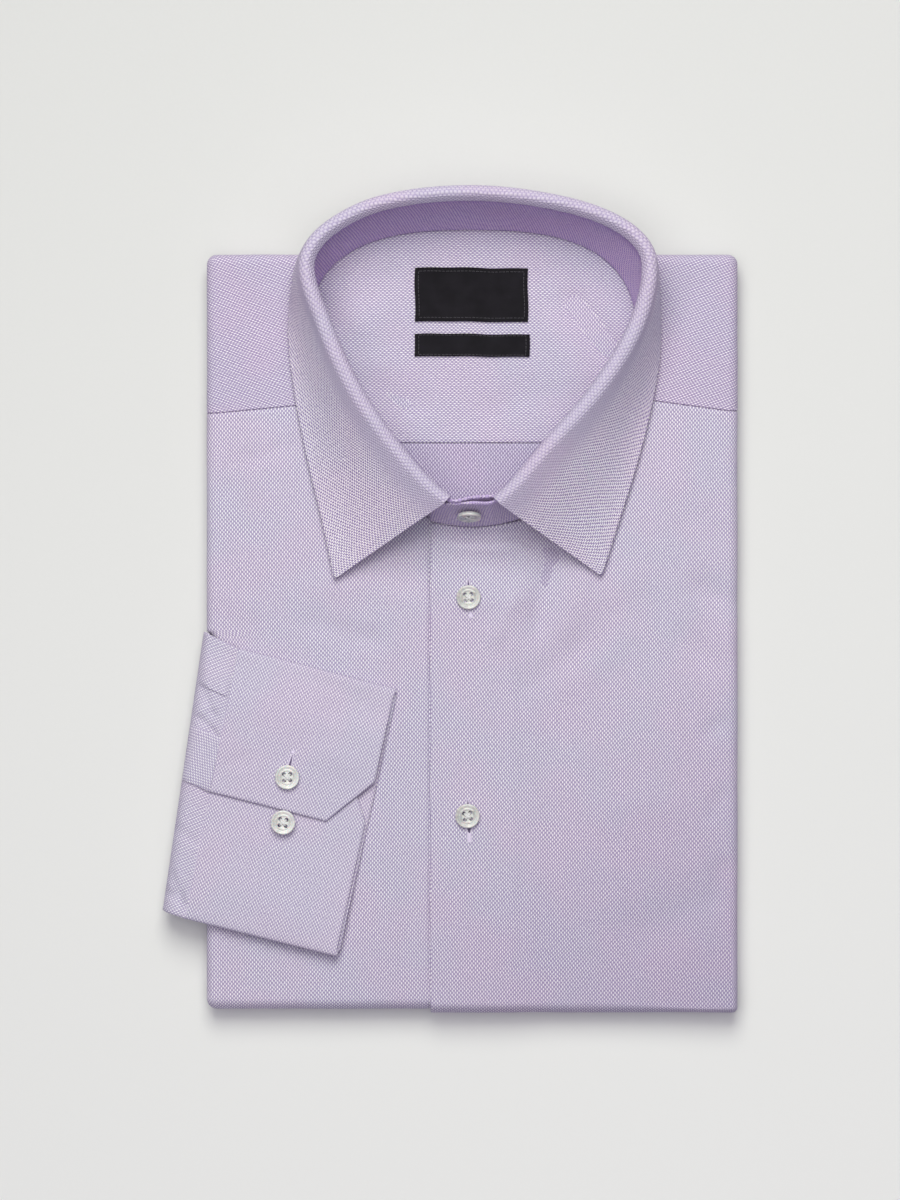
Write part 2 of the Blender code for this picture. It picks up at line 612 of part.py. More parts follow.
def leaf_section(way, roll_steps, fall_steps):
    """The leaf from its seam on the stand, over the roll, and down to its free edge."""
    up = np.array([0.0, 0.0, 1.0])
    start = stand_top(way) + up * 1.5 * GAP
    roll = float(blend_rows(STAND_TOP, way, ("roll",))[0])
    edge = blend_rows(LEAF_EDGE, way, ("x", "y", "z"))
    to_edge = np.array([*(edge - start)[:2], 0.0])
    out = out_of_neck(min(max(way, -0.93), 0.93))
    out += (to_edge / np.linalg.norm(to_edge) - out) * ramp(abs(way), 0.5, LEAF_END)
    out /= np.linalg.norm(out)
    across = float(np.dot(edge - start, out)) - roll
    drop = float(start[2] + roll - edge[2])
    chord_turn = math.pi / 2 + math.atan2(drop, across)
    bulge = BACK_BULGE + (SIDE_BULGE - BACK_BULGE) * ramp(abs(way), 0.4, 0.6)
    end_turn = min(chord_turn - bulge * (1 - ramp(abs(way), 0.6, 0.95)), math.radians(174))
    points = []
    for turn in np.linspace(0, end_turn, roll_steps):
        points.append(start + out * roll * (1 - math.cos(turn)) + up * roll * math.sin(turn))
    leave = out * math.sin(end_turn) + up * math.cos(end_turn)
    span = edge - points[-1]
    length = float(np.linalg.norm(span))
    arrive = 2 * span / length - leave
    arrive /= np.linalg.norm(arrive)
    for t in np.linspace(0, 1, fall_steps + 1)[1:]:
        points.append(
            (2 * t**3 - 3 * t**2 + 1) * points[roll_steps - 1]
            + (t**3 - 2 * t**2 + t) * leave * length
            + (3 * t**2 - 2 * t**3) * edge
            + (t**3 - t**2) * arrive * length
        )
    for point in points[roll_steps:]:
        floor = body_level(point[0], point[1]) + GAP + LEAF_WALL
        if floor > GAP + LEAF_WALL:
            point[2] = max(point[2], floor)
    return points


def make_leaf(look):
    ways = spaced(-LEAF_END, -0.5, 11) + spaced(-0.465, 0.465, 25) + spaced(0.5, LEAF_END, 11)
    grid = [leaf_section(way, 7, 6) for way in ways]
    return wall("collar_leaf", grid, LEAF_WALL, look, inward=-1)


# ---------------------------------------------------------------- cuff and sleeve


def cuff_place(share, width_share):
    """Plan point of the cuff: share runs from the seam to the free edge, width_share from foot to head."""
    corner = {name: np.array(at) for name, at in CUFF_CORNERS.items()}
    foot = corner["seam_foot"] * (1 - share) + corner["free_foot"] * share
    head = corner["seam_head"] * (1 - share) + corner["free_head"] * share
    return foot * (1 - width_share) + head * width_share


def cuff_path():
    """The cuff's outer face round its section: width share, height, and how far each layer runs out."""
    path = []
    for share in (LOWER_LAP_END, 0.66, 0.58, 0.50, 0.3, 0.14, 0.03):
        cut = LOWER_MITRE["depth"] * max(0.0, share - LOWER_MITRE["start"])
        cut /= LOWER_LAP_END - LOWER_MITRE["start"]
        path.append((share, CUFF_LAP_TOP, 1 - LAP_SETBACK - cut))
    foot_half = (CUFF_LAP_TOP - CUFF_BACK_LEVEL) / 2
    for turn in np.radians((40, 90, 140)):
        share = 0.014 * (1 - math.sin(turn))
        path.append((share, CUFF_BACK_LEVEL + foot_half * (1 + math.cos(turn)), 1 - LAP_SETBACK / 2))
    for share in (0.03, 0.25, 0.5, 0.75, 0.97):
        path.append((share, CUFF_BACK_LEVEL, 1.0))
    for turn in np.radians((40, 90, 140)):
        share = 1 - 0.014 * (1 - math.sin(turn))
        path.append((share, CUFF_BACK_LEVEL + foot_half * (1 - math.cos(turn)), 1 - LAP_SETBACK / 2))
    for share in (0.97, 0.9, 0.84, 0.78, 0.72, 0.65, 0.6, 0.53, UPPER_LAP_END):
        height = CUFF_LAP_TOP + (UPPER_LAP_TOP - CUFF_LAP_TOP) * ramp(share, 0.97, 0.79)
        cut = UPPER_MITRE["depth"] * max(0.0, UPPER_MITRE["start"] - share)
        cut /= UPPER_MITRE["start"] - UPPER_LAP_END
        path.append((share, height, 1 - LAP_SETBACK - cut))
    return path


def make_cuff(look):
    grid = []
    for width_share, height, reach in cuff_path():
        line = []
        for step in (0.0, 0.3, 0.6, 0.8, 1.0):
            x, y = cuff_place(step * reach, width_share)
            line.append((x, y, height + swell(x, y)))
        grid.append(line)
    return wall("cuff", grid, CUFF_WALL, look, inward=1)


def sleeve_point(width_share, run):
    """Outer face of the sleeve's end. run is 0 at the cuff, 1 to 2 round the fold, 3 at the packet's side."""
    seam = cuff_place(0.0, width_share) - np.array([GAP + 0.05, 0.0])
    foot, head = np.array(SLEEVE_FOLD_FOOT), np.array(SLEEVE_FOLD_HEAD)
    fold = foot * (1 - width_share) + head * width_share
    length = float(np.linalg.norm(fold - seam))
    way = (fold - seam) / length
    room = (BODY_LEFT - fold[0]) / -way[0]
    side_x = BODY_LEFT + press(BODY_LEFT, fold[1] - way[1] * room) - 2 * GAP
    room = (side_x - fold[0]) / -way[0]
    reach = min(max(room, SLEEVE_FOLD_REACH[0]), SLEEVE_FOLD_REACH[1])
    rise = PLEAT["rise"] * ramp(width_share, PLEAT["edge"] - 0.015, PLEAT["edge"])
    rise *= 1 - ramp(width_share, PLEAT["edge"] + 0.03, PLEAT["end"])
    top = SLEEVE_TOP + rise * (1 - ramp(run, 1.0, 1.5))
    half = (top - SLEEVE_LOW) / 2
    turn = math.pi * min(max(run - 1, 0), 1)
    if run <= 1:
        at = seam + way * (length - reach) * run
    else:
        back = max(room - reach, 0.2) * max(run - 2, 0)
        at = fold - way * (reach * (1 - math.sin(turn)) + back)
    return (at[0], at[1], top - half * (1 - math.cos(turn)))


def sleeve_widths():
    return [0.0, 0.12, 0.28, 0.45, 0.6, 0.74, PLEAT["edge"] - 0.015, PLEAT["edge"], 0.86, 0.91, 0.95, 1.0]


def make_sleeve(look):
    runs = [0.0, 0.5] + [1 + t for t in spaced(0, 1, 10)] + [2.5, 3.0]
    grid = [[sleeve_point(width_share, run) for run in runs] for width_share in sleeve_widths()]
    return wall("sleeve", grid, SLEEVE_WALL, look, inward=1)


def make_sleeve_placket(look):
    """The sleeve opening's bound strip, lying on the sleeve from the cuff to round the fold."""
    grid = []
    for width_share in (PLACKET_SPAN[0], sum(PLACKET_SPAN) / 2, PLACKET_SPAN[1]):
        runs = (0.0, 0.5, 1.0, 1.12, 1.24, 1.36)
        grid.append([sleeve_point(width_share, run) for run in runs])
    grid = np.array(grid)
    lifted = grid + normals_of(grid) * (GAP + PLACKET_WALL)
    return wall("sleeve_placket", lifted, PLACKET_WALL, look, inward=1)


# ---------------------------------------------------------------- buttons and labels


def button_mesh():
    points, faces = [], []
    for radius, z in BUTTON_PROFILE[:-1]:
        for k in range(BUTTON_SIDES):
            angle = 2 * math.pi * k / BUTTON_SIDES
            points.append((radius * math.cos(angle) * MM, radius * math.sin(angle) * MM, z * MM))
    rings = len(BUTTON_PROFILE) - 1
    for level in range(rings - 1):
        for k in range(BUTTON_SIDES):
            a, b = level * BUTTON_SIDES + k, level * BUTTON_SIDES + (k + 1) % BUTTON_SIDES
            faces.append((a, b, b + BUTTON_SIDES, a + BUTTON_SIDES))
    faces.append(tuple(reversed(range(BUTTON_SIDES))))
    faces.append(tuple(range((rings - 1) * BUTTON_SIDES, rings * BUTTON_SIDES)))
    blank = bpy.data.meshes.new("button_blank")
    blank.from_pydata(points, [], faces)
    body = bpy.data.objects.new("button_blank", blank)
    drill = bmesh.new()
    for quarter in range(4):
        angle = math.pi / 4 + quarter * math.pi / 2
        x, y = (BUTTON_HOLE_OFFSET * math.sqrt(2) * t for t in (math.cos(angle), math.sin(angle)))
        place = Matrix.Translation((x * MM, y * MM, BUTTON_RADIUS * MM / 4))
        bmesh.ops.create_cone(
            drill,
            cap_ends=True,
            segments=8,
            radius1=BUTTON_HOLE_RADIUS * MM,
            radius2=BUTTON_HOLE_RADIUS * MM,
            depth=BUTTON_RADIUS * MM,
            matrix=place,
        )
    drill_mesh = bpy.data.meshes.new("button_drill")
    drill.to_mesh(drill_mesh)
    drill.free()
    cutter = bpy.data.objects.new("button_drill", drill_mesh)
    for helper in (body, cutter):
        bpy.context.scene.collection.objects.link(helper)
    cut = body.modifiers.new("holes", "BOOLEAN")
    cut.operation = "DIFFERENCE"
    cut.solver = "EXACT"
    cut.object = cutter
    graph = bpy.context.evaluated_depsgraph_get()
    mesh = bpy.data.meshes.new_from_object(body.evaluated_get(graph))
    mesh.name = "button"
    for helper in (body, cutter):
        bpy.data.objects.remove(helper)
    return mesh


def place_button(name, mesh, look, centre, facing=None):
    obj = add_object(name, mesh.copy(), look, math.radians(30))
    turn = Matrix.Identity(3) if facing is None else facing
    obj.matrix_world = Matrix.Translation(Vector((np.array(centre) + BASE_SHIFT) * MM)) @ turn.to_4x4()
    return obj


def make_buttons(look):
    mesh = button_mesh()
    for name, (x, y) in FRONT_BUTTONS.items():
        z = FRONT_TOP + swell(x, y) + overlap_rise(x) + GAP
        place_button(name, mesh, look, (x, y, z))
    for name, (x, y) in CUFF_BUTTONS.items():
        place_button(name, mesh, look, (x, y, UPPER_LAP_TOP + swell(x, y) + GAP))
    low, middle, high = (Vector(p) for p in stand_column(1.0, (0.0, COLLAR_BUTTON_SHARE, 1.0)))
    across = Vector((1.0, 0.0, 0.0))
    slope = (high - low).normalized()
    slope = Vector((0.0, slope.y, slope.z)).normalized()
    up = Matrix.Rotation(COLLAR_BUTTON_DROOP, 3, across) @ slope
    facing = across.cross(up).normalized()
    off = STAND_WALL + 1.5 * GAP + BUTTON_RADIUS * math.sin(COLLAR_BUTTON_DROOP)
    at = middle + across.cross(slope) * off + Vector((COLLAR_BUTTON_X - middle.x, 0.0, 0.0))
    turn = Matrix((across, up, facing)).transposed()
    place_button("collar_button", mesh, look, at, turn)


def make_labels(look):
    for name, (left, right, foot, head) in LABELS.items():
        grid = []
        for x in spaced(left, right, 4):
            column = [(x, y, back_level(x, y) + GAP + LABEL_WALL) for y in spaced(foot, head, 3)]
            grid.append(column)
        wall(name, grid, LABEL_WALL, look)


def main():
    for old in list(bpy.data.objects):
        bpy.data.objects.remove(old)
    make_core(CLOTH)
    make_back(CLOTH)
    make_yoke_back(CLOTH)
    make_front("front_right", False, CLOTH)
    make_front("front_left", True, CLOTH)
    make_shoulder("yoke_shoulder_right", False, CLOTH)
    make_shoulder("yoke_shoulder_left", True, CLOTH)
    make_stand(CLOTH)
    make_leaf(CLOTH)
    make_cuff(CLOTH)
    make_sleeve(CLOTH)
    make_sleeve_placket(CLOTH)
    make_buttons(SHELL)
    make_labels(SATIN)


main()
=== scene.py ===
"""Looks of the folded dress shirt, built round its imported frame.

Each piece of cloth is a fine thin shell on its solid's form, with soft creases and a woven material laid
out in the cloth's own directions. Buttons, their thread, the buttonholes and the two bare labels are added.
Places and sizes are in millimetres of the plan, with the photograph's top towards +Y, unless said otherwise.
"""

import math

import bmesh
import bpy
import numpy as np
from mathutils import Matrix, Vector


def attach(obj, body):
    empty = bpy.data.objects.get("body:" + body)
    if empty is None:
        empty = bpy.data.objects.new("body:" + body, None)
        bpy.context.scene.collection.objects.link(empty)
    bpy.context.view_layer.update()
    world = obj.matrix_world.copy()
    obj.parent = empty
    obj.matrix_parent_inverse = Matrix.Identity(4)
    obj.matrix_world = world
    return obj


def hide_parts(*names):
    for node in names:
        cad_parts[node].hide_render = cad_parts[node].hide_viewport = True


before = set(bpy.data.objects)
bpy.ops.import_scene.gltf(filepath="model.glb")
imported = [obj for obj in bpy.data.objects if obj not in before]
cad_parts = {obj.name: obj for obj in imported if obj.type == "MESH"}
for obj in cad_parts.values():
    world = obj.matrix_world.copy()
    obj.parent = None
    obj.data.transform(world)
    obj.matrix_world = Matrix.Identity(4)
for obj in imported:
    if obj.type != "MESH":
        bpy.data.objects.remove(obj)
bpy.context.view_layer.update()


def table(columns, *rows):
    """Rows with named columns. A row may leave out its last ones."""
    return [dict(zip(columns.split(), row)) for row in rows]


MM = 0.001
BASE_SHIFT = np.array([-0.025, 0.32, 0.0])
GAP = 0.3

# ---- the folded packet in plan ----
BODY_LEFT = -109.6
BODY_RIGHT = 129.6
BODY_TOP = 155.7
BODY_BOTTOM = -184.4
OVER_BOTTOM = -186.1  # the upper front turns round outside the under front
CENTRE_X = 10.0  # middle of the neck and of the buttons' overlap
PLACKET_EDGE_X = -8.7
UNDER_FRONT_EDGE_X = 26.0

# ---- levels above the table ----
CORE_TOP = 11.75
BACK_TOP = 13.3
FRONT_TOP = 14.8
SIDE_LIP = 6.3  # how low a side fold reaches, above the folded-up tail
OVER_FOOT_LIP = 0.3
UNDER_FOOT_LIP = 1.9

# ---- cloth ----
FRONT_WALL = 1.2
BACK_WALL = 1.0
STAND_WALL = 1.4
LEAF_WALL = 1.5
CUFF_WALL = 1.3
SLEEVE_WALL = 1.8
OVERLAP_RISE = FRONT_WALL + GAP

# ---- edge folds ----
SIDE_REACH = 4.5  # plan width of a rounded edge
FOOT_REACH = 5.0
SHARP_REACH = 2.4  # at the lower right corner, which is pressed sharper

# ---- neck opening: half an ellipse in front, a squarer half behind ----
NECK_Y = 114.5
NECK_HALF_WIDTH = 75.7
NECK_FRONT = 82.2
NECK_BACK = 53.8
NECK_BACK_POWER = 2.7
DROOP_START_Y, DROOP_ROUND = 151.0, 78.0  # from here the yoke droops, by distance squared over this
SHOULDER_CLEAR = 0.6  # the shoulders' edges stand this far off the inner yoke's
STAND_LIFT = 0.9  # the leaning stand's inner edge comes down lower than its outer one

# ---- seams of the yoke, which slope down towards the shoulders ----
YOKE_SEAM_REACH = 80.0
YOKE_SEAM = {"left": (87.3, 0.094), "right": (89.8, 0.134)}  # height at that reach, slope
BACK_SEAM_Y = 70.6

# ---- where the sleeve presses the packet's left side in ----
PRESS_DEPTH = 2.4
PRESS_START_Y, PRESS_FULL_Y, PRESS_HOLD_Y, PRESS_END_Y = -14.1, -15.1, -42.0, -62.0
PRESS_FADE = 30.0

# Broad soft swells of the cloth: height, waves per millimetre in X and in Y, phase.
SWELLS = table(
    "height across along phase",
    (0.16, 0.0046, 0.0031, 0.4),
    (0.12, -0.0062, 0.0049, 2.1),
    (0.07, 0.0105, -0.0076, 4.0),
)

# Inner top edge of the collar stand, with the size of the leaf's roll over it. "way" runs from -1 at the
# front, round the left and the back (0), to 1 at the front again; past 1 the two ends of the stand overlap,
# the right one outside.
STAND_TOP = table(
    "way x y z roll",
    (-1.11, 25.0, 47.6, 38.5, 2.0),
    (-1.00, 9.8, 46.6, 40.0, 2.0),
    (-0.95, -0.6, 45.6, 40.5, 2.0),
    (-0.80, -23.0, 68.8, 41.3, 2.3),
    (-0.65, -41.2, 95.6, 42.2, 2.4),
    (-0.50, -54.6, 124.9, 42.5, 2.2),
    (-0.38, -61.5, 149.2, 43.0, 1.9),
    (-0.30, -52.4, 163.1, 42.4, 1.8),
    (-0.18, -29.1, 174.4, 42.2, 1.8),
    (0.00, 9.6, 178.7, 42.0, 1.8),
    (0.18, 49.1, 174.0, 42.2, 1.8),
    (0.30, 74.7, 164.6, 42.4, 1.8),
    (0.38, 86.1, 151.4, 43.0, 1.9),
    (0.50, 81.8, 125.3, 42.5, 2.2),
    (0.65, 65.0, 96.4, 42.2, 2.4),
    (0.80, 43.3, 70.8, 41.3, 2.3),
    (0.95, 20.2, 45.2, 40.5, 2.0),
    (1.00, 9.8, 44.2, 39.8, 2.0),
    (1.085, -7.6, 43.4, 36.0, 2.0),
)
UNDER_STAND_INSET = 2.0  # the left end of the stand runs inside the right one
BACK_BOW, FRONT_BOW = 0.6, -1.4  # how far the stand bows out between its foot and its top
UNDER_STAND_WAYS = (-0.78, -0.90)
UNDER_NECK_X = (-36.0, -12.0)
OVER_STAND_WAYS = (0.78, 0.90)  # the right end's foot climbs onto the under front

# Free edge of the collar leaf, at the same ways round. The two ends are the collar's points.
LEAF_EDGE = table(
    "way x y z",
    (-0.953, -52.0, 9.2, 17.3),
    (-0.80, -57.4, 34.9, 17.0),
    (-0.65, -65.9, 71.8, 16.9),
    (-0.50, -71.6, 107.8, 16.9),
    (-0.42, -71.2, 130.0, 16.9),
    (-0.36, -68.0, 147.5, 17.0),
    (-0.30, -60.5, 161.0, 12.0),
    (-0.18, -34.0, 171.5, 6.5),
    (0.00, 10.0, 176.0, 4.0),
    (0.18, 54.0, 171.5, 6.5),
    (0.30, 83.0, 161.5, 12.0),
    (0.36, 90.6, 148.0, 17.0),
    (0.42, 93.4, 130.0, 16.9),
    (0.50, 92.9, 103.0, 16.9),
    (0.65, 85.7, 67.3, 16.9),
    (0.80, 74.0, 29.0, 17.0),
    (0.953, 68.2, 10.6, 17.3),
)
LEAF_END = 0.953
BACK_BULGE = math.radians(3)
LEAVE_STEEPER = 0.35  # beside the neck the fall leaves the roll steeper than its chord by this share
EDGE_SLOPE = 0.22  # and has this share of the chord's slope left at its edge

# ---- cuff, a buttoned band laid flat: its corners in plan ----
CUFF_CORNERS = {
    "seam_foot": (-119.0, -143.3),
    "free_foot": (-50.2, -160.4),
    "free_head": (-23.4, -40.3),
    "seam_head": (-95.2, -21.8),
}
CUFF_BACK_LEVEL = FRONT_TOP + GAP
CUFF_LIFT = (2.0, 3.6)  # how far its foot stands up, at the seam and at the free edge
CUFF_LAP_TOP = CUFF_BACK_LEVEL + 2 * CUFF_WALL + 0.4
UPPER_LAP_TOP = CUFF_LAP_TOP + CUFF_WALL + 0.4
UPPER_LAP_END = 0.47  # shares of the cuff's flat width
LOWER_LAP_END = 0.74
UPPER_MITRE = {"start": 0.65, "depth": 0.24}
LOWER_MITRE = {"start": 0.50, "depth": 0.24}
LAP_SETBACK = 0.017  # the laps stop short of the cuff's back layer

# ---- sleeve end, folded back over the packet's left edge ----
SLEEVE_FOLD_FOOT = (-129.6, -140.0)
SLEEVE_FOLD_HEAD = (-111.0, -14.2)
SLEEVE_TOP = 17.7
SLEEVE_LOW = 3.2
SLEEVE_FOLD_REACH = (3.4, 6.5)
PLEAT = {"edge": 0.82, "end": 0.95, "rise": 0.95}
PLACKET_SPAN = (0.472, 0.67)
PLACKET_WALL = 0.6

# ---- buttons ----
BUTTON_RADIUS = 5.5
BUTTON_HOLE_RADIUS = 0.88
BUTTON_HOLE_OFFSET = 1.42
FRONT_BUTTONS = {"front_button_upper": (8.3, 1.2), "front_button_lower": (7.9, -97.2)}
CUFF_BUTTONS = {"cuff_button_fastened": (-73.1, -79.6), "cuff_button_spare": (-75.0, -99.9)}
COLLAR_BUTTON_SHARE = 0.5  # of the stand's height
COLLAR_BUTTON_X = 8.6
COLLAR_BUTTON_DROOP = math.radians(5)  # it hangs nearer upright than the stand

# ---- neck labels, left bare: left, right, foot, head ----
LABELS = {"label_main": (-15.8, 35.1, 125.4, 149.6), "label_size": (-16.0, 35.8, 109.7, 119.8)}
LABEL_WALL = 1.0

UP = np.array([0.0, 0.0, 1.0])
LEVEL = np.array([1.0, 1.0, 0.0])


def unit(vector):
    return vector / np.linalg.norm(vector)


def smooth(share):
    share = min(1.0, max(0.0, share))
    return share * share * (3 - 2 * share)


def ramp(value, start, end):
    """0 at start, 1 at end, smooth between."""
    return smooth((value - start) / (end - start))


def spaced(start, end, count):
    return [float(v) for v in np.linspace(start, end, count)]


def curve(t, start, leave, end, arrive):
    """A point of the smooth curve between two points, with the slopes at both."""
    return (
        (2 * t**3 - 3 * t**2 + 1) * start + (t**3 - 2 * t**2 + t) * leave
        + (3 * t**2 - 2 * t**3) * end + (t**3 - t**2) * arrive
    )


def blend_rows(rows, way, columns):
    """A smooth curve through the rows of a table, at one way round."""
    ways = [row["way"] for row in rows]
    i = min(max(int(np.searchsorted(ways, way)) - 1, 0), len(rows) - 2)
    four = (max(i - 1, 0), i, i + 1, min(i + 2, len(rows) - 1))
    points = [np.array([rows[k][c] for c in columns]) for k in four]
    times = [ways[k] for k in four]
    span = times[2] - times[1]
    leave = (points[2] - points[0]) / (times[2] - times[0]) * span
    arrive = (points[3] - points[1]) / (times[3] - times[1]) * span
    return curve((way - times[1]) / span, points[1], leave, points[2], arrive)


def swell(x, y):
    turns = (2 * math.pi * (s["across"] * x + s["along"] * y) + s["phase"] for s in SWELLS)
    return sum(s["height"] * math.sin(turn) for s, turn in zip(SWELLS, turns))


def back_level(x, y):
    """Top of the back and of the inner yoke, which droops towards the back of the neck."""
    return BACK_TOP + swell(x, y) - max(0.0, y - DROOP_START_Y) ** 2 / DROOP_ROUND


def overlap_rise(x):
    """How much the upper front is lifted by the under front's edge."""
    return OVERLAP_RISE * (1 - ramp(x, UNDER_FRONT_EDGE_X + 1.5, UNDER_FRONT_EDGE_X + 20.0))


def press(x, y):
    """How far the sleeve presses the left side in at this place."""
    hold = ramp(y, PRESS_START_Y, PRESS_FULL_Y) * (1 - ramp(y, PRESS_HOLD_Y, PRESS_END_Y))
    return PRESS_DEPTH * hold * (1 - ramp(x, BODY_LEFT, BODY_LEFT + PRESS_FADE))


def body_level(x, y):
    """Top of the fronts and shoulders, rounding down at the edges, and 0 outside them."""
    inset = min(x - BODY_LEFT, BODY_RIGHT - x, BODY_TOP - y, y - BODY_BOTTOM)
    if inset < 0:
        return 0.0
    top = FRONT_TOP + swell(x, y) + (overlap_rise(x) if x > PLACKET_EDGE_X and y < BACK_SEAM_Y else 0)
    if inset >= SIDE_REACH:
        return top
    half = (top - SIDE_LIP) / 2
    return top - half + half * math.sqrt(1 - ((SIDE_REACH - inset) / SIDE_REACH) ** 2)


def normals_of(grid):
    normal = np.cross(np.gradient(grid, axis=0), np.gradient(grid, axis=1))
    return normal / np.linalg.norm(normal, axis=2, keepdims=True)


def folded_point(flat_x, flat_y, side_turn, end_turn, out_x, out_y, top, side_lip, end_lip, reaches):
    """A point of a cloth that rounds a packet's side, its end, or the corner between them."""
    turn = max(side_turn, end_turn)
    if turn == 0:
        return (flat_x, flat_y, top)
    if side_turn >= end_turn:
        angle = math.pi / 4 * end_turn / side_turn
    else:
        angle = math.pi / 2 - math.pi / 4 * side_turn / end_turn
    at_end = smooth(angle / (math.pi / 2))
    lip = side_lip * (1 - at_end) + end_lip * at_end
    out = (reaches[0] * (1 - at_end) + reaches[1] * at_end) * math.sin(turn)
    drop = (top - lip) / 2 * (1 - math.cos(turn))
    return (flat_x + out_x * out * math.cos(angle), flat_y + out_y * out * math.sin(angle), top - drop)


def neck_edge_y(x):
    """Front half of the neckline at this place across, or None outside the neck."""
    share = (x - CENTRE_X) / NECK_HALF_WIDTH
    if abs(share) >= 1:
        return None
    return NECK_Y - NECK_FRONT * math.sqrt(1 - share * share)


def yoke_seam_y(x):
    height, slope = YOKE_SEAM["left" if x < CENTRE_X else "right"]
    return height - slope * (abs(x - CENTRE_X) - YOKE_SEAM_REACH)


def front_top_y(x, over):
    """Top edge of a front. The under front follows the end of the stand that moves in."""
    seam = yoke_seam_y(x)
    neck = neck_edge_y(x)
    if neck is None:
        return seam
    return min(seam, neck if over else neck + UNDER_STAND_INSET * ramp(x, *UNDER_NECK_X))


def front_reaches(x, y, over):
    """Plan width of the rounded side and foot here; the upper front's lower right corner is pressed sharp."""
    if not over:
        return SIDE_REACH, FOOT_REACH
    sharp = ramp(y, BODY_BOTTOM + 70, BODY_BOTTOM + 10)
    sharp_foot = ramp(x, BODY_RIGHT - 70, BODY_RIGHT - 10)
    return (
        SIDE_REACH + (SHARP_REACH - SIDE_REACH) * sharp,
        FOOT_REACH + (SHARP_REACH - FOOT_REACH) * sharp_foot,
    )


def neck_reach(y, clear):
    """Half width of the neck opening at this height."""
    if y <= NECK_Y:
        return (NECK_HALF_WIDTH + clear) * math.sqrt(1 - ((NECK_Y - y) / (NECK_FRONT + clear)) ** 2)
    share = (y - NECK_Y) / (NECK_BACK + clear)
    return (NECK_HALF_WIDTH + clear) * (1 - share**NECK_BACK_POWER) ** (1 / NECK_BACK_POWER)


def neck_ring(way, inset):
    """The neckline seen from above, this share of the way round it, and moved in from the edge."""
    turns = np.radians(np.linspace(0, 180, 361))
    front = turns <= math.pi / 2
    power = np.where(front, 1.0, 2 / NECK_BACK_POWER)
    depth = np.where(front, NECK_FRONT, NECK_BACK) - inset
    across = (NECK_HALF_WIDTH - inset) * np.sin(turns) ** power
    along = -np.sign(np.cos(turns)) * depth * np.abs(np.cos(turns)) ** power
    run = np.concatenate([[0], np.cumsum(np.hypot(np.diff(across), np.diff(along)))])
    share = 1 - abs(way)
    place = abs(share) * run[-1]
    side = math.copysign(1, way) * (1 if share >= 0 else -1)
    x, y = float(np.interp(place, run, across)), float(np.interp(place, run, along))
    return CENTRE_X + side * x, NECK_Y + y


def stand_base(way):
    """Foot of the stand's inner face. The left end moves in, behind the right end."""
    inset = GAP + STAND_WALL + UNDER_STAND_INSET * ramp(way, *UNDER_STAND_WAYS)
    x, y = neck_ring(way, inset)
    rise = OVERLAP_RISE * ramp(way, *OVER_STAND_WAYS)
    return np.array([x, y, back_level(x, y) + STAND_LIFT + rise])


def stand_top(way):
    return blend_rows(STAND_TOP, way, ("x", "y", "z"))


def stand_column(way, shares):
    """The stand's inner face from foot to top."""
    base, top = stand_base(way), stand_top(way)
    bow = BACK_BOW + (FRONT_BOW - BACK_BOW) * ramp(abs(way), 0.7, 0.93)
    return [base + (top - base) * t + out_of_neck(way) * bow * 4 * t * (1 - t) for t in shares]


def out_of_neck(way):
    """The level direction away from the neck, square to the stand's top edge."""
    low, high = way - 0.02, way + 0.02
    if abs(way) > 0.95:
        low, high = (0.98, 1.04) if way > 0 else (-1.04, -0.98)
    run = stand_top(high) - stand_top(low)
    return unit(np.array([-run[1], run[0], 0.0]))


def leaf_section(way, roll_steps, fall_steps):
    """The leaf from its seam on the stand, over the roll, and down to its free edge."""
    start = stand_top(way) + UP * 1.5 * GAP
    roll = float(blend_rows(STAND_TOP, way, ("roll",))[0])
    edge = blend_rows(LEAF_EDGE, way, ("x", "y", "z"))
    out = out_of_neck(min(max(way, -0.93), 0.93))
    out = unit(out + (unit((edge - start) * LEVEL) - out) * ramp(abs(way), 0.5, LEAF_END))
    across = float(np.dot(edge - start, out)) - roll
    slope = math.atan2(float(start[2] + roll - edge[2]), across)
    beside = ramp(abs(way), 0.36, 0.54)
    end_turn = math.pi / 2 + slope - BACK_BULGE * (1 - beside) + LEAVE_STEEPER * slope * beside
    end_turn = min(end_turn, math.radians(174))
    behind = 1 - ramp(abs(way), 0.32, 0.5)
    wide, high, straight = roll + 0.7 * behind, roll + 0.2 + 1.4 * behind, 0.8 * behind
    points = []
    for turn in np.linspace(0, end_turn, roll_steps):
        if turn < math.pi / 2:
            even = straight * turn / (math.pi / 2)
            over = wide * ((1 - straight) * (1 - math.cos(turn)) + even)
            rise = high * ((1 - straight) * math.sin(turn) + even)
        else:
            over, rise = wide - roll * math.cos(turn), high - roll * (1 - math.sin(turn))
        points.append(start + out * over + UP * rise)
    top = points[-1]
    length = float(np.linalg.norm(edge - top))
    leave = out * math.sin(end_turn) + UP * math.cos(end_turn)
    arrive = unit(2 * (edge - top) / length - leave)
    tilt = math.pi / 2 + EDGE_SLOPE * slope
    settled = unit((edge - top) * LEVEL) * math.sin(tilt) + UP * math.cos(tilt)
    arrive = unit(arrive + (settled - arrive) * beside)
    for t in spaced(0, 1, fall_steps + 1)[1:]:
        point = curve(t, top, leave * length, edge, arrive * length)
        below = body_level(point[0], point[1])
        if below > 0:
            point[2] = max(point[2], below + GAP + LEAF_WALL)
        points.append(point)
    return points


def cuff_place(share, width_share):
    """Plan point of the cuff: share runs from the seam to the free edge, width_share from foot to head."""
    corner = {name: np.array(at) for name, at in CUFF_CORNERS.items()}
    foot = corner["seam_foot"] * (1 - share) + corner["free_foot"] * share
    head = corner["seam_head"] * (1 - share) + corner["free_head"] * share
    return foot * (1 - width_share) + head * width_share


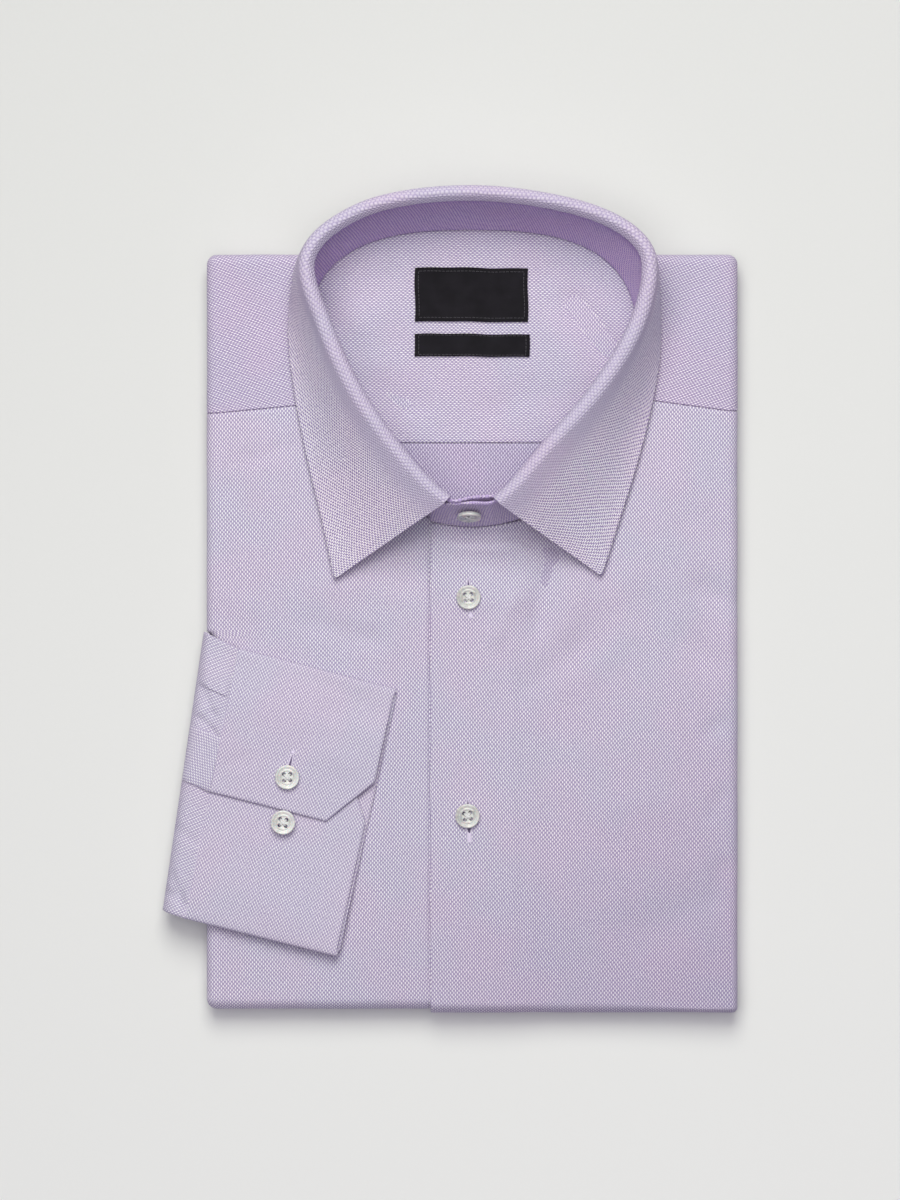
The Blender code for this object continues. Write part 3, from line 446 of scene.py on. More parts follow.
CUFF_TURN_SHARE = 0.03  # share of the cuff's width next to each of its folds


def upper_lap_rise(width_share):
    """The upper lap climbs onto the lower one from the cuff's head."""
    return (UPPER_LAP_TOP - CUFF_LAP_TOP) * ramp(width_share, 1 - CUFF_TURN_SHARE, 0.79)


def foot_lift(width_share, length_share):
    """How far the cuff's foot half stands up off the front."""
    lift = CUFF_LIFT[0] + (CUFF_LIFT[1] - CUFF_LIFT[0]) * length_share
    return lift * (1 - ramp(width_share, 0.0, 0.5))


def cuff_height(width_share):
    """Top of the cuff at its seam. The upper lap covers its head half."""
    lap = upper_lap_rise(width_share) * ramp(width_share, UPPER_LAP_END - 0.005, UPPER_LAP_END + 0.005)
    return CUFF_LAP_TOP + lap + foot_lift(width_share, 0.0)


def sleeve_point(width_share, run):
    """Outer face of the sleeve's end. run is 0 at the cuff, 1 to 2 round the fold, 3 at the packet's side."""
    seam = cuff_place(0.0, width_share) - np.array([0.02, 0.0])
    foot, head = np.array(SLEEVE_FOLD_FOOT), np.array(SLEEVE_FOLD_HEAD)
    fold = foot * (1 - width_share) + head * width_share
    length = float(np.linalg.norm(fold - seam))
    way = (fold - seam) / length
    room = (BODY_LEFT - fold[0]) / -way[0]
    side_x = BODY_LEFT + press(BODY_LEFT, fold[1] - way[1] * room) - 2 * GAP
    room = (side_x - fold[0]) / -way[0]
    reach = min(max(room, SLEEVE_FOLD_REACH[0]), SLEEVE_FOLD_REACH[1])
    rise = PLEAT["rise"] * ramp(width_share, PLEAT["edge"] - 0.004, PLEAT["edge"])
    rise *= 1 - ramp(width_share, PLEAT["edge"] + 0.03, PLEAT["end"])
    rise *= ramp(run, 0.0, 0.25) * (1 - ramp(run, 1.0, 1.5))
    lap = (cuff_height(width_share) - SLEEVE_TOP - 0.1) * (1 - 0.7 * ramp(run, 0.0, 1.0))
    top = SLEEVE_TOP + rise + lap * (1 - ramp(run, 1.0, 2.0))
    turn = math.pi * min(max(run - 1, 0), 1)
    if run <= 1:
        at = seam + way * (length - reach) * run
    else:
        at = fold - way * (reach * (1 - math.sin(turn)) + max(room - reach, 0.2) * max(run - 2, 0))
    return (at[0], at[1], top - (top - SLEEVE_LOW) / 2 * (1 - math.cos(turn)))


# ---------------------------------------------------------------- creases

# Soft creases over the packet: ends in plan, half width, depth (positive is a ridge).
BODY_CREASES = table(
    "x0 y0 x1 y1 wide deep bend",
    (51.0, 26.0, 36.0, -20.0, 4.6, -1.15, 0.05),
    (62.0, 22.0, 52.0, -22.0, 6.0, 0.7, 0.05),
    (32.0, 4.0, 18.0, -22.0, 4.0, 0.7, 0.03),
    (24.0, 32.0, 52.0, 18.0, 3.2, -1.0, 0.0),
    (-6.2, 25.5, 36.0, 26.0, 3.4, 0.7, 0.05),
    (108.0, 11.0, 131.0, -4.0, 6.0, -0.6),
    (100.0, -14.0, 127.0, -31.0, 6.5, -0.6),
    (-100.0, 64.0, -66.0, 72.0, 3.5, -0.4),
    (-72.0, -12.0, -26.0, -22.0, 4.5, -0.5),
    (-6.2, 30.6, 34.0, 31.0, 2.7, -1.7, 0.05),
    (5.0, 12.5, 46.0, 17.0, 6.5, -0.6),
    (-2.0, -8.0, 34.0, 4.0, 5.0, 0.35),
    (52.0, -2.0, 92.0, 10.0, 8.0, 0.5),
    (116.0, 12.0, 109.0, -32.0, 5.5, -0.5),
    (126.0, -54.0, 112.0, -64.0, 3.5, -0.5),
    (126.0, -84.0, 116.0, -102.0, 4.0, -0.5),
    (127.0, -116.0, 117.0, -140.0, 4.5, -0.6),
    (30.0, -50.0, 62.0, -10.0, 6.0, -0.4),
    (44.0, -44.0, 84.0, -8.0, 6.0, 0.35),
    (60.0, -100.0, 118.0, -92.0, 9.0, 0.3),
    (70.0, -150.0, 126.0, -132.0, 11.0, -0.7),
    (28.2, 20.0, 28.0, -183.0, 2.2, 0.14, 0.002),
    (32.4, 20.0, 32.0, -183.0, 2.6, -0.18, 0.003),
    (-72.0, 2.0, -14.0, -1.0, 5.5, 0.4),
    (-56.0, -17.0, -24.0, -15.0, 5.0, -0.35),
    (-106.0, 6.0, -84.0, -6.0, 5.0, 0.3),
    (-104.0, 60.0, -92.0, 20.0, 7.0, -0.3),
    (100.0, 62.0, 106.0, 34.0, 7.0, 0.35),
    (92.0, 44.0, 126.0, 26.0, 6.0, -0.3),
    (-20.0, -110.0, -14.0, -178.0, 5.0, -0.3),
    (112.0, 148.0, 98.0, 112.0, 7.0, -0.3),
    (-98.0, 146.0, -84.0, 116.0, 7.0, -0.25),
)


# The upper front's edge has sunk a little into the under front.
UNDER_CREASES = table(
    "x0 y0 x1 y1 wide deep bend",
    (PLACKET_EDGE_X - 0.5, 48.0, PLACKET_EDGE_X - 0.5, -198.0, 0.6, -0.6, 0.0),
    (-44.0, 3.0, 4.0, 16.0, 9.0, -0.8, 0.0),
)

CREASE_GAIN = 1.45  # the tables' depths times this are millimetres
USUAL_BEND = 0.08


def crease_relief(x, y, rows):
    """Sum of the table's soft troughs and ridges at these places."""
    total = np.zeros_like(x)
    for row in rows:
        run = np.array([row["x1"] - row["x0"], row["y1"] - row["y0"]])
        length = float(np.hypot(*run))
        way = run / length
        along = ((x - row["x0"]) * way[0] + (y - row["y0"]) * way[1]) / length
        off = (x - row["x0"]) * -way[1] + (y - row["y0"]) * way[0]
        off = off + row.get("bend", USUAL_BEND) * length * np.sin(3.0 * along + row["x0"])
        fade = np.clip(np.minimum(along, 1 - along) / 0.35 + 0.25, 0, 1)
        across = np.exp(-((off / row["wide"]) ** 2))
        total += CREASE_GAIN * row["deep"] * fade * fade * (3 - 2 * fade) * across
    return total


def ripples(x, y):
    """Faint unevenness of cloth that has lain folded."""
    return (
        0.05 * np.sin(x / 9.0 + 1.7 * np.sin(y / 31.0))
        + 0.05 * np.sin(y / 11.0 + 1.3 * np.sin(x / 23.0))
        + 0.03 * np.sin((x + y) / 5.3 + 2.0 * np.sin(y / 17.0))
    )


# ---------------------------------------------------------------- shells


def creased(grid, flat, inward, rows):
    """The grid with its creases and its faint unevenness raised off it."""
    x, y = flat[..., 0], flat[..., 1]
    return grid + normals_of(grid) * inward * (crease_relief(x, y, rows) + ripples(x, y))[..., None]


def arc_lengths(grid, axis):
    steps = np.linalg.norm(np.diff(grid, axis=axis), axis=2)
    pad = np.zeros((1, steps.shape[1])) if axis == 0 else np.zeros((steps.shape[0], 1))
    return np.concatenate([pad, np.cumsum(steps, axis=axis)], axis=axis)


def run_along(grid):
    """Distance along the first column, the same for a whole row."""
    return arc_lengths(grid, 0)[:, :1] * np.ones((1, grid.shape[1]))


def unrolled(grid):
    """Cloth coordinates of a grid whose columns run across a curved strip: the strip laid flat."""
    across = arc_lengths(grid, 1)
    place, way = np.zeros(2), np.array([0.0, 1.0])
    flat = [place + np.outer(across[0], way)]
    for i in range(grid.shape[0] - 1):
        ends = []
        for at, towards, reach in ((0, 1, 0.0), (-1, -2, across[i, -1])):
            step = grid[i + 1, at] - grid[i, at]
            run = unit(grid[i, towards] - grid[i, at]) * (1 if at == 0 else -1)
            slip = float(np.dot(step, run))
            off = math.sqrt(max(float(np.dot(step, step)) - slip * slip, 0.0))
            ends.append(place + way * (reach + slip) + np.array([way[1], -way[0]]) * off)
        place, way = ends[0], unit(ends[1] - ends[0])
        flat.append(place + np.outer(across[i + 1], way))
    return np.array(flat)


def turned(flat, degrees):
    """Cloth coordinates turned by this angle."""
    c, s = math.cos(math.radians(degrees)), math.sin(math.radians(degrees))
    u, v = flat[..., 0], flat[..., 1]
    return np.stack([u * c - v * s, u * s + v * c], axis=2)


RIM = 0.45  # how far from its edge a cloth starts to round


def with_rim_rows(grid, flat):
    """Adds a line of points close to each edge, so that the edge can be rounded."""
    for axis in (0, 0, 1, 1):
        step = np.take(grid, [1], axis) - np.take(grid, [0], axis)
        share = np.clip(RIM / np.maximum(np.linalg.norm(step, axis=2, keepdims=True), 1e-6), 0.05, 0.7)
        sides = []
        for side in (grid, flat):
            first = np.take(side, [0], axis)
            near = first + (np.take(side, [1], axis) - first) * share
            rest = np.delete(side, 0, axis)
            sides.append(np.flip(np.concatenate([first, near, rest], axis=axis), axis))
        grid, flat = sides
    return grid, flat


EDGES = ("first_row", "last_row", "first_column", "last_column")


def shell(name, grid, flat, thickness, material, inward=1, bevel=0.32, **bevels):
    """A closed thin cloth shell with cloth coordinates. The grid is its shown side. Bevels differ by edge."""
    grid, flat = with_rim_rows(np.array(grid, float), np.array(flat, float))
    rows, columns = grid.shape[:2]
    normal = normals_of(grid) * inward
    drop = np.zeros((rows, columns, 1))
    for edge, line in zip(EDGES, (drop[0], drop[-1], drop[:, 0], drop[:, -1])):
        line[:] = np.maximum(line, bevels.get(edge, bevel))
    shown = grid - normal * thickness * drop
    hidden = grid - normal * thickness * (1 - drop)
    points = np.concatenate([shown.reshape(-1, 3), hidden.reshape(-1, 3)])
    other = rows * columns
    index = np.arange(other).reshape(rows, columns)
    quads = np.stack([index[:-1, :-1], index[:-1, 1:], index[1:, 1:], index[1:, :-1]], axis=2).reshape(-1, 4)
    ring = np.concatenate([index[0, :], index[1:, -1], index[-1, -2::-1], index[-2:0:-1, 0]])
    after = np.roll(ring, -1)
    sides = np.stack([after, ring, ring + other, after + other], axis=1)
    faces = np.concatenate([quads, quads[:, ::-1] + other, sides])
    return solid(name, points, faces.tolist(), np.concatenate([flat.reshape(-1, 2)] * 2), material, 55)


def linked(name, data):
    obj = bpy.data.objects.new(name, data)
    bpy.context.scene.collection.objects.link(obj)
    return obj


def ring_faces(rings, around, start=0):
    """Faces between rings of points, which are numbered from start."""
    faces = []
    for level in range(rings - 1):
        for k in range(around):
            a, b = start + level * around + k, start + level * around + (k + 1) % around
            faces.append((a, b, b + around, a + around))
    return faces


CLOTH_UNIT = 100.0  # millimetres of cloth for one unit of the cloth coordinates


def solid(name, points, faces, coordinates, material, sharp=None):
    """An object of these points and faces, in the plan's millimetres, with its cloth coordinates."""
    mesh = bpy.data.meshes.new(name)
    mesh.from_pydata(((points + BASE_SHIFT) * MM).tolist(), [], faces)
    layer = mesh.uv_layers.new(name="cloth_mm")
    corner = np.empty(len(mesh.loops), dtype=np.int32)
    mesh.loops.foreach_get("vertex_index", corner)
    layer.data.foreach_set("uv", (np.asarray(coordinates) / CLOTH_UNIT).astype(np.float32)[corner].ravel())
    work = bmesh.new()
    work.from_mesh(mesh)
    bmesh.ops.recalc_face_normals(work, faces=work.faces)
    work.to_mesh(mesh)
    work.free()
    mesh.materials.append(material)
    mesh.shade_smooth()
    if sharp is not None:
        mesh.set_sharp_from_angle(angle=math.radians(sharp))
    return linked(name, mesh)


def as_piece(obj, nodes=()):
    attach(obj, "root")
    if nodes:
        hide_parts(*nodes)
    return obj


# ---------------------------------------------------------------- materials


class Nodes:
    """Short calls for making one material's nodes."""

    def __init__(self, name):
        self.material = bpy.data.materials.new(name)
        self.material.use_nodes = True
        self.tree = self.material.node_tree
        self.shader = self.tree.nodes["Principled BSDF"]

    def add(self, kind, inputs=(), **settings):
        """A new node with its settings, and the values or links of its inputs."""
        node = self.tree.nodes.new(kind)
        for key, value in settings.items():
            setattr(node, key, value)
        for key, value in dict(inputs).items():
            self.put(node.inputs[key], value)
        return node

    def put(self, socket, value):
        if isinstance(value, bpy.types.NodeSocket):
            self.tree.links.new(value, socket)
        else:
            socket.default_value = value

    def maths(self, operation, *values):
        return self.add("ShaderNodeMath", dict(enumerate(values)), operation=operation).outputs[0]

    def noise(self, vector, scale, detail=2.0, roughness=0.5):
        inputs = {"Vector": vector, "Scale": scale, "Detail": detail, "Roughness": roughness}
        return self.add("ShaderNodeTexNoise", inputs).outputs["Fac"]

    def spread(self, value, low, high, to_low=0.0, to_high=1.0):
        inputs = {"Value": value, "From Min": low, "From Max": high, "To Min": to_low, "To Max": to_high}
        return self.add("ShaderNodeMapRange", inputs, clamp=True).outputs[0]

    def blend(self, share, first, second, kind="MIX"):
        first, second = ((*c, 1.0) if isinstance(c, tuple) else c for c in (first, second))
        inputs = {0: share, 6: first, 7: second}
        node = self.add("ShaderNodeMix", inputs, data_type="RGBA", blend_type=kind, clamp_factor=True)
        return node.outputs[2]

    def bands(self, inputs):
        """Soft stripes slanting through the object."""
        inputs = {"Vector": self.place(), **inputs}
        node = self.add("ShaderNodeTexWave", inputs, wave_type="BANDS", bands_direction="DIAGONAL")
        return node.outputs["Fac"]

    def place(self):
        return self.add("ShaderNodeTexCoord").outputs["Object"]

    def parts(self, vector):
        return self.add("ShaderNodeSeparateXYZ", {0: vector}).outputs

    def cloth(self):
        """Place on the flat cloth in millimetres."""
        coordinates = self.add("ShaderNodeUVMap", uv_map="cloth_mm").outputs[0]
        inputs = {0: coordinates, "Scale": CLOTH_UNIT}
        return self.add("ShaderNodeVectorMath", inputs, operation="SCALE").outputs[0]

    def surface(self, values, height=None, strength=0.0, distance=0.0):
        """Sets the shader's inputs, with a bump of this height, and gives the material."""
        for key, value in values.items():
            self.put(self.shader.inputs[key], value)
        if height is not None:
            bump = self.add("ShaderNodeBump", {"Strength": strength, "Distance": distance, "Height": height})
            self.put(self.shader.inputs["Normal"], bump.outputs[0])
        return self.material


PICK_S, PICK_T = 1.58, 1.90  # the weave's repeat across and along the warp, in millimetres
CLOTH_DARK = (0.38, 0.315, 0.5)
CLOTH_LIGHT = (1.0, 0.975, 1.0)

DRIFT_TONES = ((0.98, 1.0, 1.0), (1.016, 0.987, 1.0))  # the cloth drifts from bluish to rosy
# Painted shade: how far the fronts darken towards the lower right, for the lamps' light falling off there.
PAINTED_FALLOFF_TONE = (0.85, 0.815, 0.865)
SHEEN_TINT = (0.85, 0.78, 1.0, 1.0)

ROLL_SHADE_LEVELS = (0.036, 0.041)  # metres above the table: where the painted shade over a collar's roll and the stand's top starts, and is full

STAND_FRONT_PAINTED_LIGHT = (0.035, 0.105)  # metres in Y: the lighter, greyer front tones of painted light up to the first, the usual ones from the second


def cloth_material(name, contrast=1.0, lean=2.3, bump=1.0, deep=CLOTH_DARK, pale=CLOTH_LIGHT, painted_falloff=None,
                   roll_shade=0.0, roll_shade_share=0.44, front=None):
    """The basket weave: pale floats over darker gaps, fine yarn lines and a soft drift of pink and blue.

    contrast and lean shape its tones. painted_falloff is the way across the cloth in which it darkens:
    painted shade for the lamps' light falling off towards the lower right. roll_shade is how far it evens out
    and darkens over the collar's roll, towards roll_shade_share of the pale tone: painted shade over the
    roll's highlight. front gives lighter, greyer tones
    to what stands under the collar button: painted light on the band, which faces away from the lamps.
    """
    n = Nodes(name)
    cloth = n.cloth()
    along_warp = n.parts(cloth)
    s, t = (
        n.maths("ADD", part, n.maths("MULTIPLY", n.maths("SUBTRACT", n.noise(cloth, scale), 0.5), 1.6))
        for part, scale in zip(along_warp, (0.05, 0.06))
    )
    across = n.maths("COSINE", n.maths("MULTIPLY", s, 2 * math.pi / PICK_S))
    along = n.maths("COSINE", n.maths("MULTIPLY", t, 2 * math.pi / PICK_T))
    yarns = n.maths("COSINE", n.maths("MULTIPLY", s, 4 * math.pi / PICK_S))
    floats = []
    for sign in (0.5, -0.5):
        narrow = n.maths("POWER", n.maths("MULTIPLY_ADD", across, sign, 0.5), 1.5)
        long = n.maths("POWER", n.maths("MULTIPLY_ADD", along, sign, 0.5), 0.65)
        floats.append(n.maths("MULTIPLY", narrow, long))
    height = n.maths("MULTIPLY_ADD", n.maths("ADD", *floats), 2.1, -1.0)
    height = n.maths("MULTIPLY_ADD", yarns, 0.3, height)
    grit = n.maths("MULTIPLY", n.maths("SUBTRACT", n.noise(cloth, 1.1, 1.0), 0.5), 1.1)
    height = n.maths("ADD", height, grit)
    share = n.maths("POWER", n.spread(height, 0.07 - 1.02 / contrast, 0.07 + 1.02 / contrast), lean)
    # Painted shade: high up, where the collar's roll and the stand's top catch the light, the weave evens out
    # and darkens.
    if roll_shade:
        roll_shade_mask = n.spread(n.parts(n.place())[2], *ROLL_SHADE_LEVELS, 0.0, roll_shade)
        share = n.maths("MULTIPLY_ADD", n.maths("SUBTRACT", roll_shade_share, share), roll_shade_mask, share)
    warm = n.spread(n.noise(cloth, 0.024, 2.0, 0.55), 0.4, 0.6)
    tones = []
    for colour in (deep, pale):
        tones.append(n.blend(warm, *(tuple(np.multiply(colour, drift).tolist()) for drift in DRIFT_TONES)))
    colour = n.blend(share, *tones)
    # Painted light: the stand's front under the collar button, which faces away from the lamps, takes
    # lighter, greyer tones.
    if front:
        colour = n.blend(n.spread(n.parts(n.place())[1], *STAND_FRONT_PAINTED_LIGHT), n.blend(share, *front), colour)
    # Painted shade: darker towards the lower right, where the lamps' light falls off.
    if painted_falloff:
        slope = n.maths("MULTIPLY", along_warp[1], painted_falloff[1])
        slope = n.maths("MULTIPLY_ADD", along_warp[0], painted_falloff[0], slope)
        colour = n.blend(n.spread(slope, 0.12, 0.32), colour, n.blend(1.0, colour, PAINTED_FALLOFF_TONE, "MULTIPLY"))
    values = {
        "Base Color": colour, "Roughness": n.spread(height, -1.0, 1.0, 0.86, 0.68),
        "Specular IOR Level": 0.12, "Sheen Weight": 0.04, "Sheen Roughness": 0.4, "Sheen Tint": SHEEN_TINT,
    }
    return n.surface(values, height, 0.55 * bump, 0.00016)


BAND_TONE = (0.8, 0.79, 0.755)


def shell_material(name, deep, pale):
    """Pearly button: a pale grey body with soft cloudy bands and a smooth gloss."""
    n = Nodes(name)
    cloud = n.noise(n.place(), 230.0, 3.0, 0.6)
    body = n.blend(n.spread(cloud, 0.35, 0.65), deep, pale)
    bands = n.bands({"Scale": 140.0, "Distortion": 9.0, "Detail": 2.0, "Detail Scale": 1.5})
    return n.surface({
        "Base Color": n.blend(n.maths("MULTIPLY", bands, 0.35), body, BAND_TONE),
        "Roughness": n.spread(cloud, 0.3, 0.7, 0.22, 0.36), "Coat Weight": 0.4, "Coat Roughness": 0.12,
        "Subsurface Weight": 0.15, "Subsurface Scale": 0.002,
    })


def thread_material(name, pale, deep, pitch=0.35):
    """Twisted sewing thread."""
    n = Nodes(name)
    twist = n.bands({"Scale": 0.3 / (pitch * MM)})
    return n.surface({"Base Color": n.blend(twist, deep, pale), "Roughness": 0.6, "Sheen Weight": 0.3},
                     twist, 0.5, 0.00008)


def label_material(name):
    """Black damask: fine ribs across the label and a faint satin drift."""
    n = Nodes(name)
    cloth = n.cloth()
    parts = n.parts(cloth)
    rib = n.maths("SINE", n.maths("MULTIPLY", parts[1], 2 * math.pi / 0.5))
    warp = n.maths("SINE", n.maths("MULTIPLY", parts[0], 2 * math.pi / 0.32))
    height = n.maths("MULTIPLY_ADD", warp, 0.5, rib)
    drift = n.spread(n.noise(cloth, 0.12, 3.0), 0.3, 0.7, 0.0, 0.4)
    share = n.maths("ADD", n.spread(height, -1.5, 1.5, 0.0, 0.6), drift)
    return n.surface({
        "Base Color": n.blend(share, (0.004, 0.0035, 0.005), (0.017, 0.015, 0.02)),
        "Roughness": n.spread(height, -1.5, 1.5, 0.75, 0.55), "Specular IOR Level": 0.15,
    }, height, 0.6, 0.00008)


# ---------------------------------------------------------------- hidden layers

# Section of the packet's rim from the table up: inset and height at the sides, and at the foot fold.
CORE_RIM = table(
    "inset z foot_inset foot_z",
    (2.4, 0.0, 9.0, 0.0),
    (0.7, 0.5, 8.8, 0.7),
    (0.1, 1.5, 8.6, 1.6),
    (0.7, 2.5, 7.4, 3.5),
    (2.2, 3.0, 6.4, 3.9),
    (0.7, 3.5, 5.6, 4.3),
    (0.1, 4.5, 5.0, 5.0),
    (0.8, 5.5, 4.6, 5.6),
    (2.4, 5.9, 4.4, 6.0),
    (5.6, 5.9, 4.8, 6.4),
    (5.6, 7.9, 4.2, 7.9),
    (2.8, 8.7, 4.0, 8.7),
    (1.9, 9.7, 3.9, 9.7),
    (1.9, 10.8, 4.2, 10.8),
    (3.0, 11.4, 5.0, 11.4),
    (5.0, CORE_TOP, 6.5, CORE_TOP),
)
CORE_CORNER_RADIUS = 10.5
CORE_CORNER_STEPS = 5
CORE_SIDE_Y = (142.0, 100.0, 40.0, PRESS_START_Y, PRESS_FULL_Y, -28.0, -42.0, -52.0, -62.0, -120.0, -171.0)
CORE_END_STEPS = 4


def core_outline():
    """Places round the packet: a point, the way in from the edge, and how much it is at the foot."""
    places = [(BODY_LEFT, y, 1.0, 0.0, 0.0) for y in CORE_SIDE_Y]
    corners = (
        (BODY_LEFT, BODY_BOTTOM, 1, 1, 180), (BODY_RIGHT, BODY_BOTTOM, -1, 1, 270),
        (BODY_RIGHT, BODY_TOP, -1, -1, 0), (BODY_LEFT, BODY_TOP, 1, -1, 90),
    )
    for index, (x, y, in_x, in_y, start) in enumerate(corners):
        for share in spaced(0, 1, CORE_CORNER_STEPS + 1):
            angle = math.radians(start + 90 * share)
            way = (math.cos(angle), math.sin(angle))
            at_foot = (share, 1 - share, 0.0, 0.0)[index]
            at = (x + in_x * CORE_CORNER_RADIUS, y + in_y * CORE_CORNER_RADIUS)
            places.append((*(a + w * CORE_CORNER_RADIUS for a, w in zip(at, way)), -way[0], -way[1], at_foot))
        if index == 1:
            places += [(BODY_RIGHT, y_step, -1.0, 0.0, 0.0) for y_step in reversed(CORE_SIDE_Y)]
        if index in (0, 2):
            ends = (BODY_LEFT + 18, BODY_RIGHT - 18)
            for x_step in spaced(*(ends if index == 0 else ends[::-1]), CORE_END_STEPS):
                places.append((x_step, y, 0.0, in_y, 1.0 if index == 0 else 0.0))
    return places


def smooth_rim(steps):
    """The rim's section, rounded between its rows."""
    rows = []
    last = len(CORE_RIM) - 1
    for k in range(last):
        four = [CORE_RIM[min(max(j, 0), last)] for j in (k - 1, k, k + 1, k + 2)]
        for t in (step / steps for step in range(steps)):
            row = {}
            for key in CORE_RIM[0]:
                a, b, c, d = (r[key] for r in four)
                bend = (2 * a - 5 * b + 4 * c - d) * t * t + (3 * b - a - 3 * c + d) * t**3
                row[key] = 0.5 * (2 * b + (c - a) * t + bend)
            rows.append(row)
    return rows + [dict(CORE_RIM[-1])]


def fine_outline():
    """The packet's outline with a place every few millimetres."""
    places, out = core_outline(), []
    for a, b in zip(places, places[1:] + places[:1]):
        steps = max(1, round(math.hypot(b[0] - a[0], b[1] - a[1]) / 3.0))
        for step in range(steps):
            out.append(tuple(p + (q - p) * step / steps for p, q in zip(a, b)))
    return out


def make_core():
    places = fine_outline()
    steps = [math.hypot(b[0] - a[0], b[1] - a[1]) for a, b in zip(places, places[1:])]
    run = np.concatenate([[0.0], np.cumsum(steps)])
    points, coordinates = [], []
    rim = smooth_rim(4)
    climb = 0.0
    for before, row in zip([rim[0], *rim], rim):
        climb += math.hypot(row["inset"] - before["inset"], row["z"] - before["z"])
        for (x, y, in_x, in_y, foot), along in zip(places, run):
            foot = smooth(1.6 * foot)
            inset = row["inset"] * (1 - foot) + row["foot_inset"] * foot
            z = max(row["z"] * (1 - foot) + row["foot_z"] * foot, 0.0)
            uneven = 0.22 * math.sin(along / 17.0 + row["z"]) + 0.15 * math.sin(along / 7.3 + 2.1 * row["z"])
            inset += uneven * smooth(row["z"] / 1.2) * (1 - smooth((row["z"] - 8.5) / 2.0)) * (1 - foot)
            px, py = x + in_x * inset, y + in_y * inset
            points.append((px + press(px, py), py, z))
            coordinates.append((along, climb))
    count, total = len(places), len(points)
    for start in (0, total - count):  # the flat underside and the top have points of their own
        coordinates += [p[:2] for p in points[start : start + count]]
        points += points[start : start + count]
    faces = [tuple(range(total, total + count)), tuple(range(total + count, total + 2 * count))]
    faces += ring_faces(len(rim), count)
    return solid("hidden_layers", np.array(points), faces, coordinates, CLOTH, 60)


# ---------------------------------------------------------------- fronts, back and yoke

SEAM_GAP = 0.06  # the shells of the scene close up at the seams
FINE_TURNS = [math.radians(a) for a in (8, 16, *range(25, 166, 10))]
SIDE_TURN, FOOT_TURN = 4.4, 5.5  # millimetres of cloth to a radian of a rounded edge
FRONT_COLUMNS, FRONT_ROWS, SHOULDER_STEPS = 68, 132, 34


def merged(*lists):
    """Rising values without near repeats."""
    out = []
    for value in sorted(v for part in lists for v in part):
        if not out or value - out[-1] > 0.25:
            out.append(value)
    return out


def make_front(name, over):
    out_x = 1 if over else -1
    edge = BODY_RIGHT if over else BODY_LEFT
    bottom, foot_lip = (OVER_BOTTOM, OVER_FOOT_LIP) if over else (BODY_BOTTOM, UNDER_FOOT_LIP)
    flat_edge = edge - out_x * SIDE_REACH
    start = PLACKET_EDGE_X if over else UNDER_FRONT_EDGE_X
    beside_edge = [PLACKET_EDGE_X + d for d in (0.3, -0.1, -0.5, -0.9, -1.4, -2.2)]
    by_creases = [27.5, 33.0, 80.3]
    even = np.linspace(start, flat_edge - out_x * 0.3, FRONT_COLUMNS)
    xs = merged(even, by_creases if over else beside_edge)
    columns = [(x, 0.0) for x in xs[::out_x]] + [(edge, turn) for turn in [0.0, *FINE_TURNS]]
    side_top, side_foot = front_top_y(edge, over), bottom + FOOT_REACH
    presses = (PRESS_START_Y, PRESS_START_Y - 0.5, PRESS_FULL_Y)
    kinks = [100 * (side_top - y) / (side_top - side_foot) for y in presses]
    rows = [(share / 100, 0.0) for share in merged(np.linspace(0.0, 100.0, FRONT_ROWS), kinks)]
    rows += [(1.0, turn) for turn in FINE_TURNS]
    grid, flat = [], []
    for x, side_turn in columns:
        foot_reach = front_reaches(x, bottom, over)[1]
        top_y = front_top_y(flat_edge if x == edge else x, over)
        line, line_flat = [], []
        for share, end_turn in rows:
            y = top_y + (bottom + foot_reach - top_y) * share
            side_reach = front_reaches(x, y, over)[0]
            flat_x = edge - out_x * side_reach if x == edge else x
            top = FRONT_TOP + swell(flat_x, y) + (overlap_rise(flat_x) if over else 0.0)
            shown_x = flat_x + (0 if over else press(flat_x, y))
            reaches = (side_reach, foot_reach)
            line.append(
                folded_point(shown_x, y, side_turn, end_turn, out_x, -1, top, SIDE_LIP, foot_lip, reaches)
            )
            line_flat.append((flat_x + out_x * side_turn * SIDE_TURN, y - end_turn * FOOT_TURN))
        grid.append(line)
        flat.append(line_flat)
    grid, flat = np.array(grid), np.array(flat)
    inward = -out_x
    grid = creased(grid, flat, inward, BODY_CREASES if over else BODY_CREASES + UNDER_CREASES)
    return shell(name, grid, turned(flat, 1.5 if over else -1.0), FRONT_WALL, FRONT_CLOTH_PAINTED_SHADE, inward,
                 first_column=0.5, first_row=0.2)


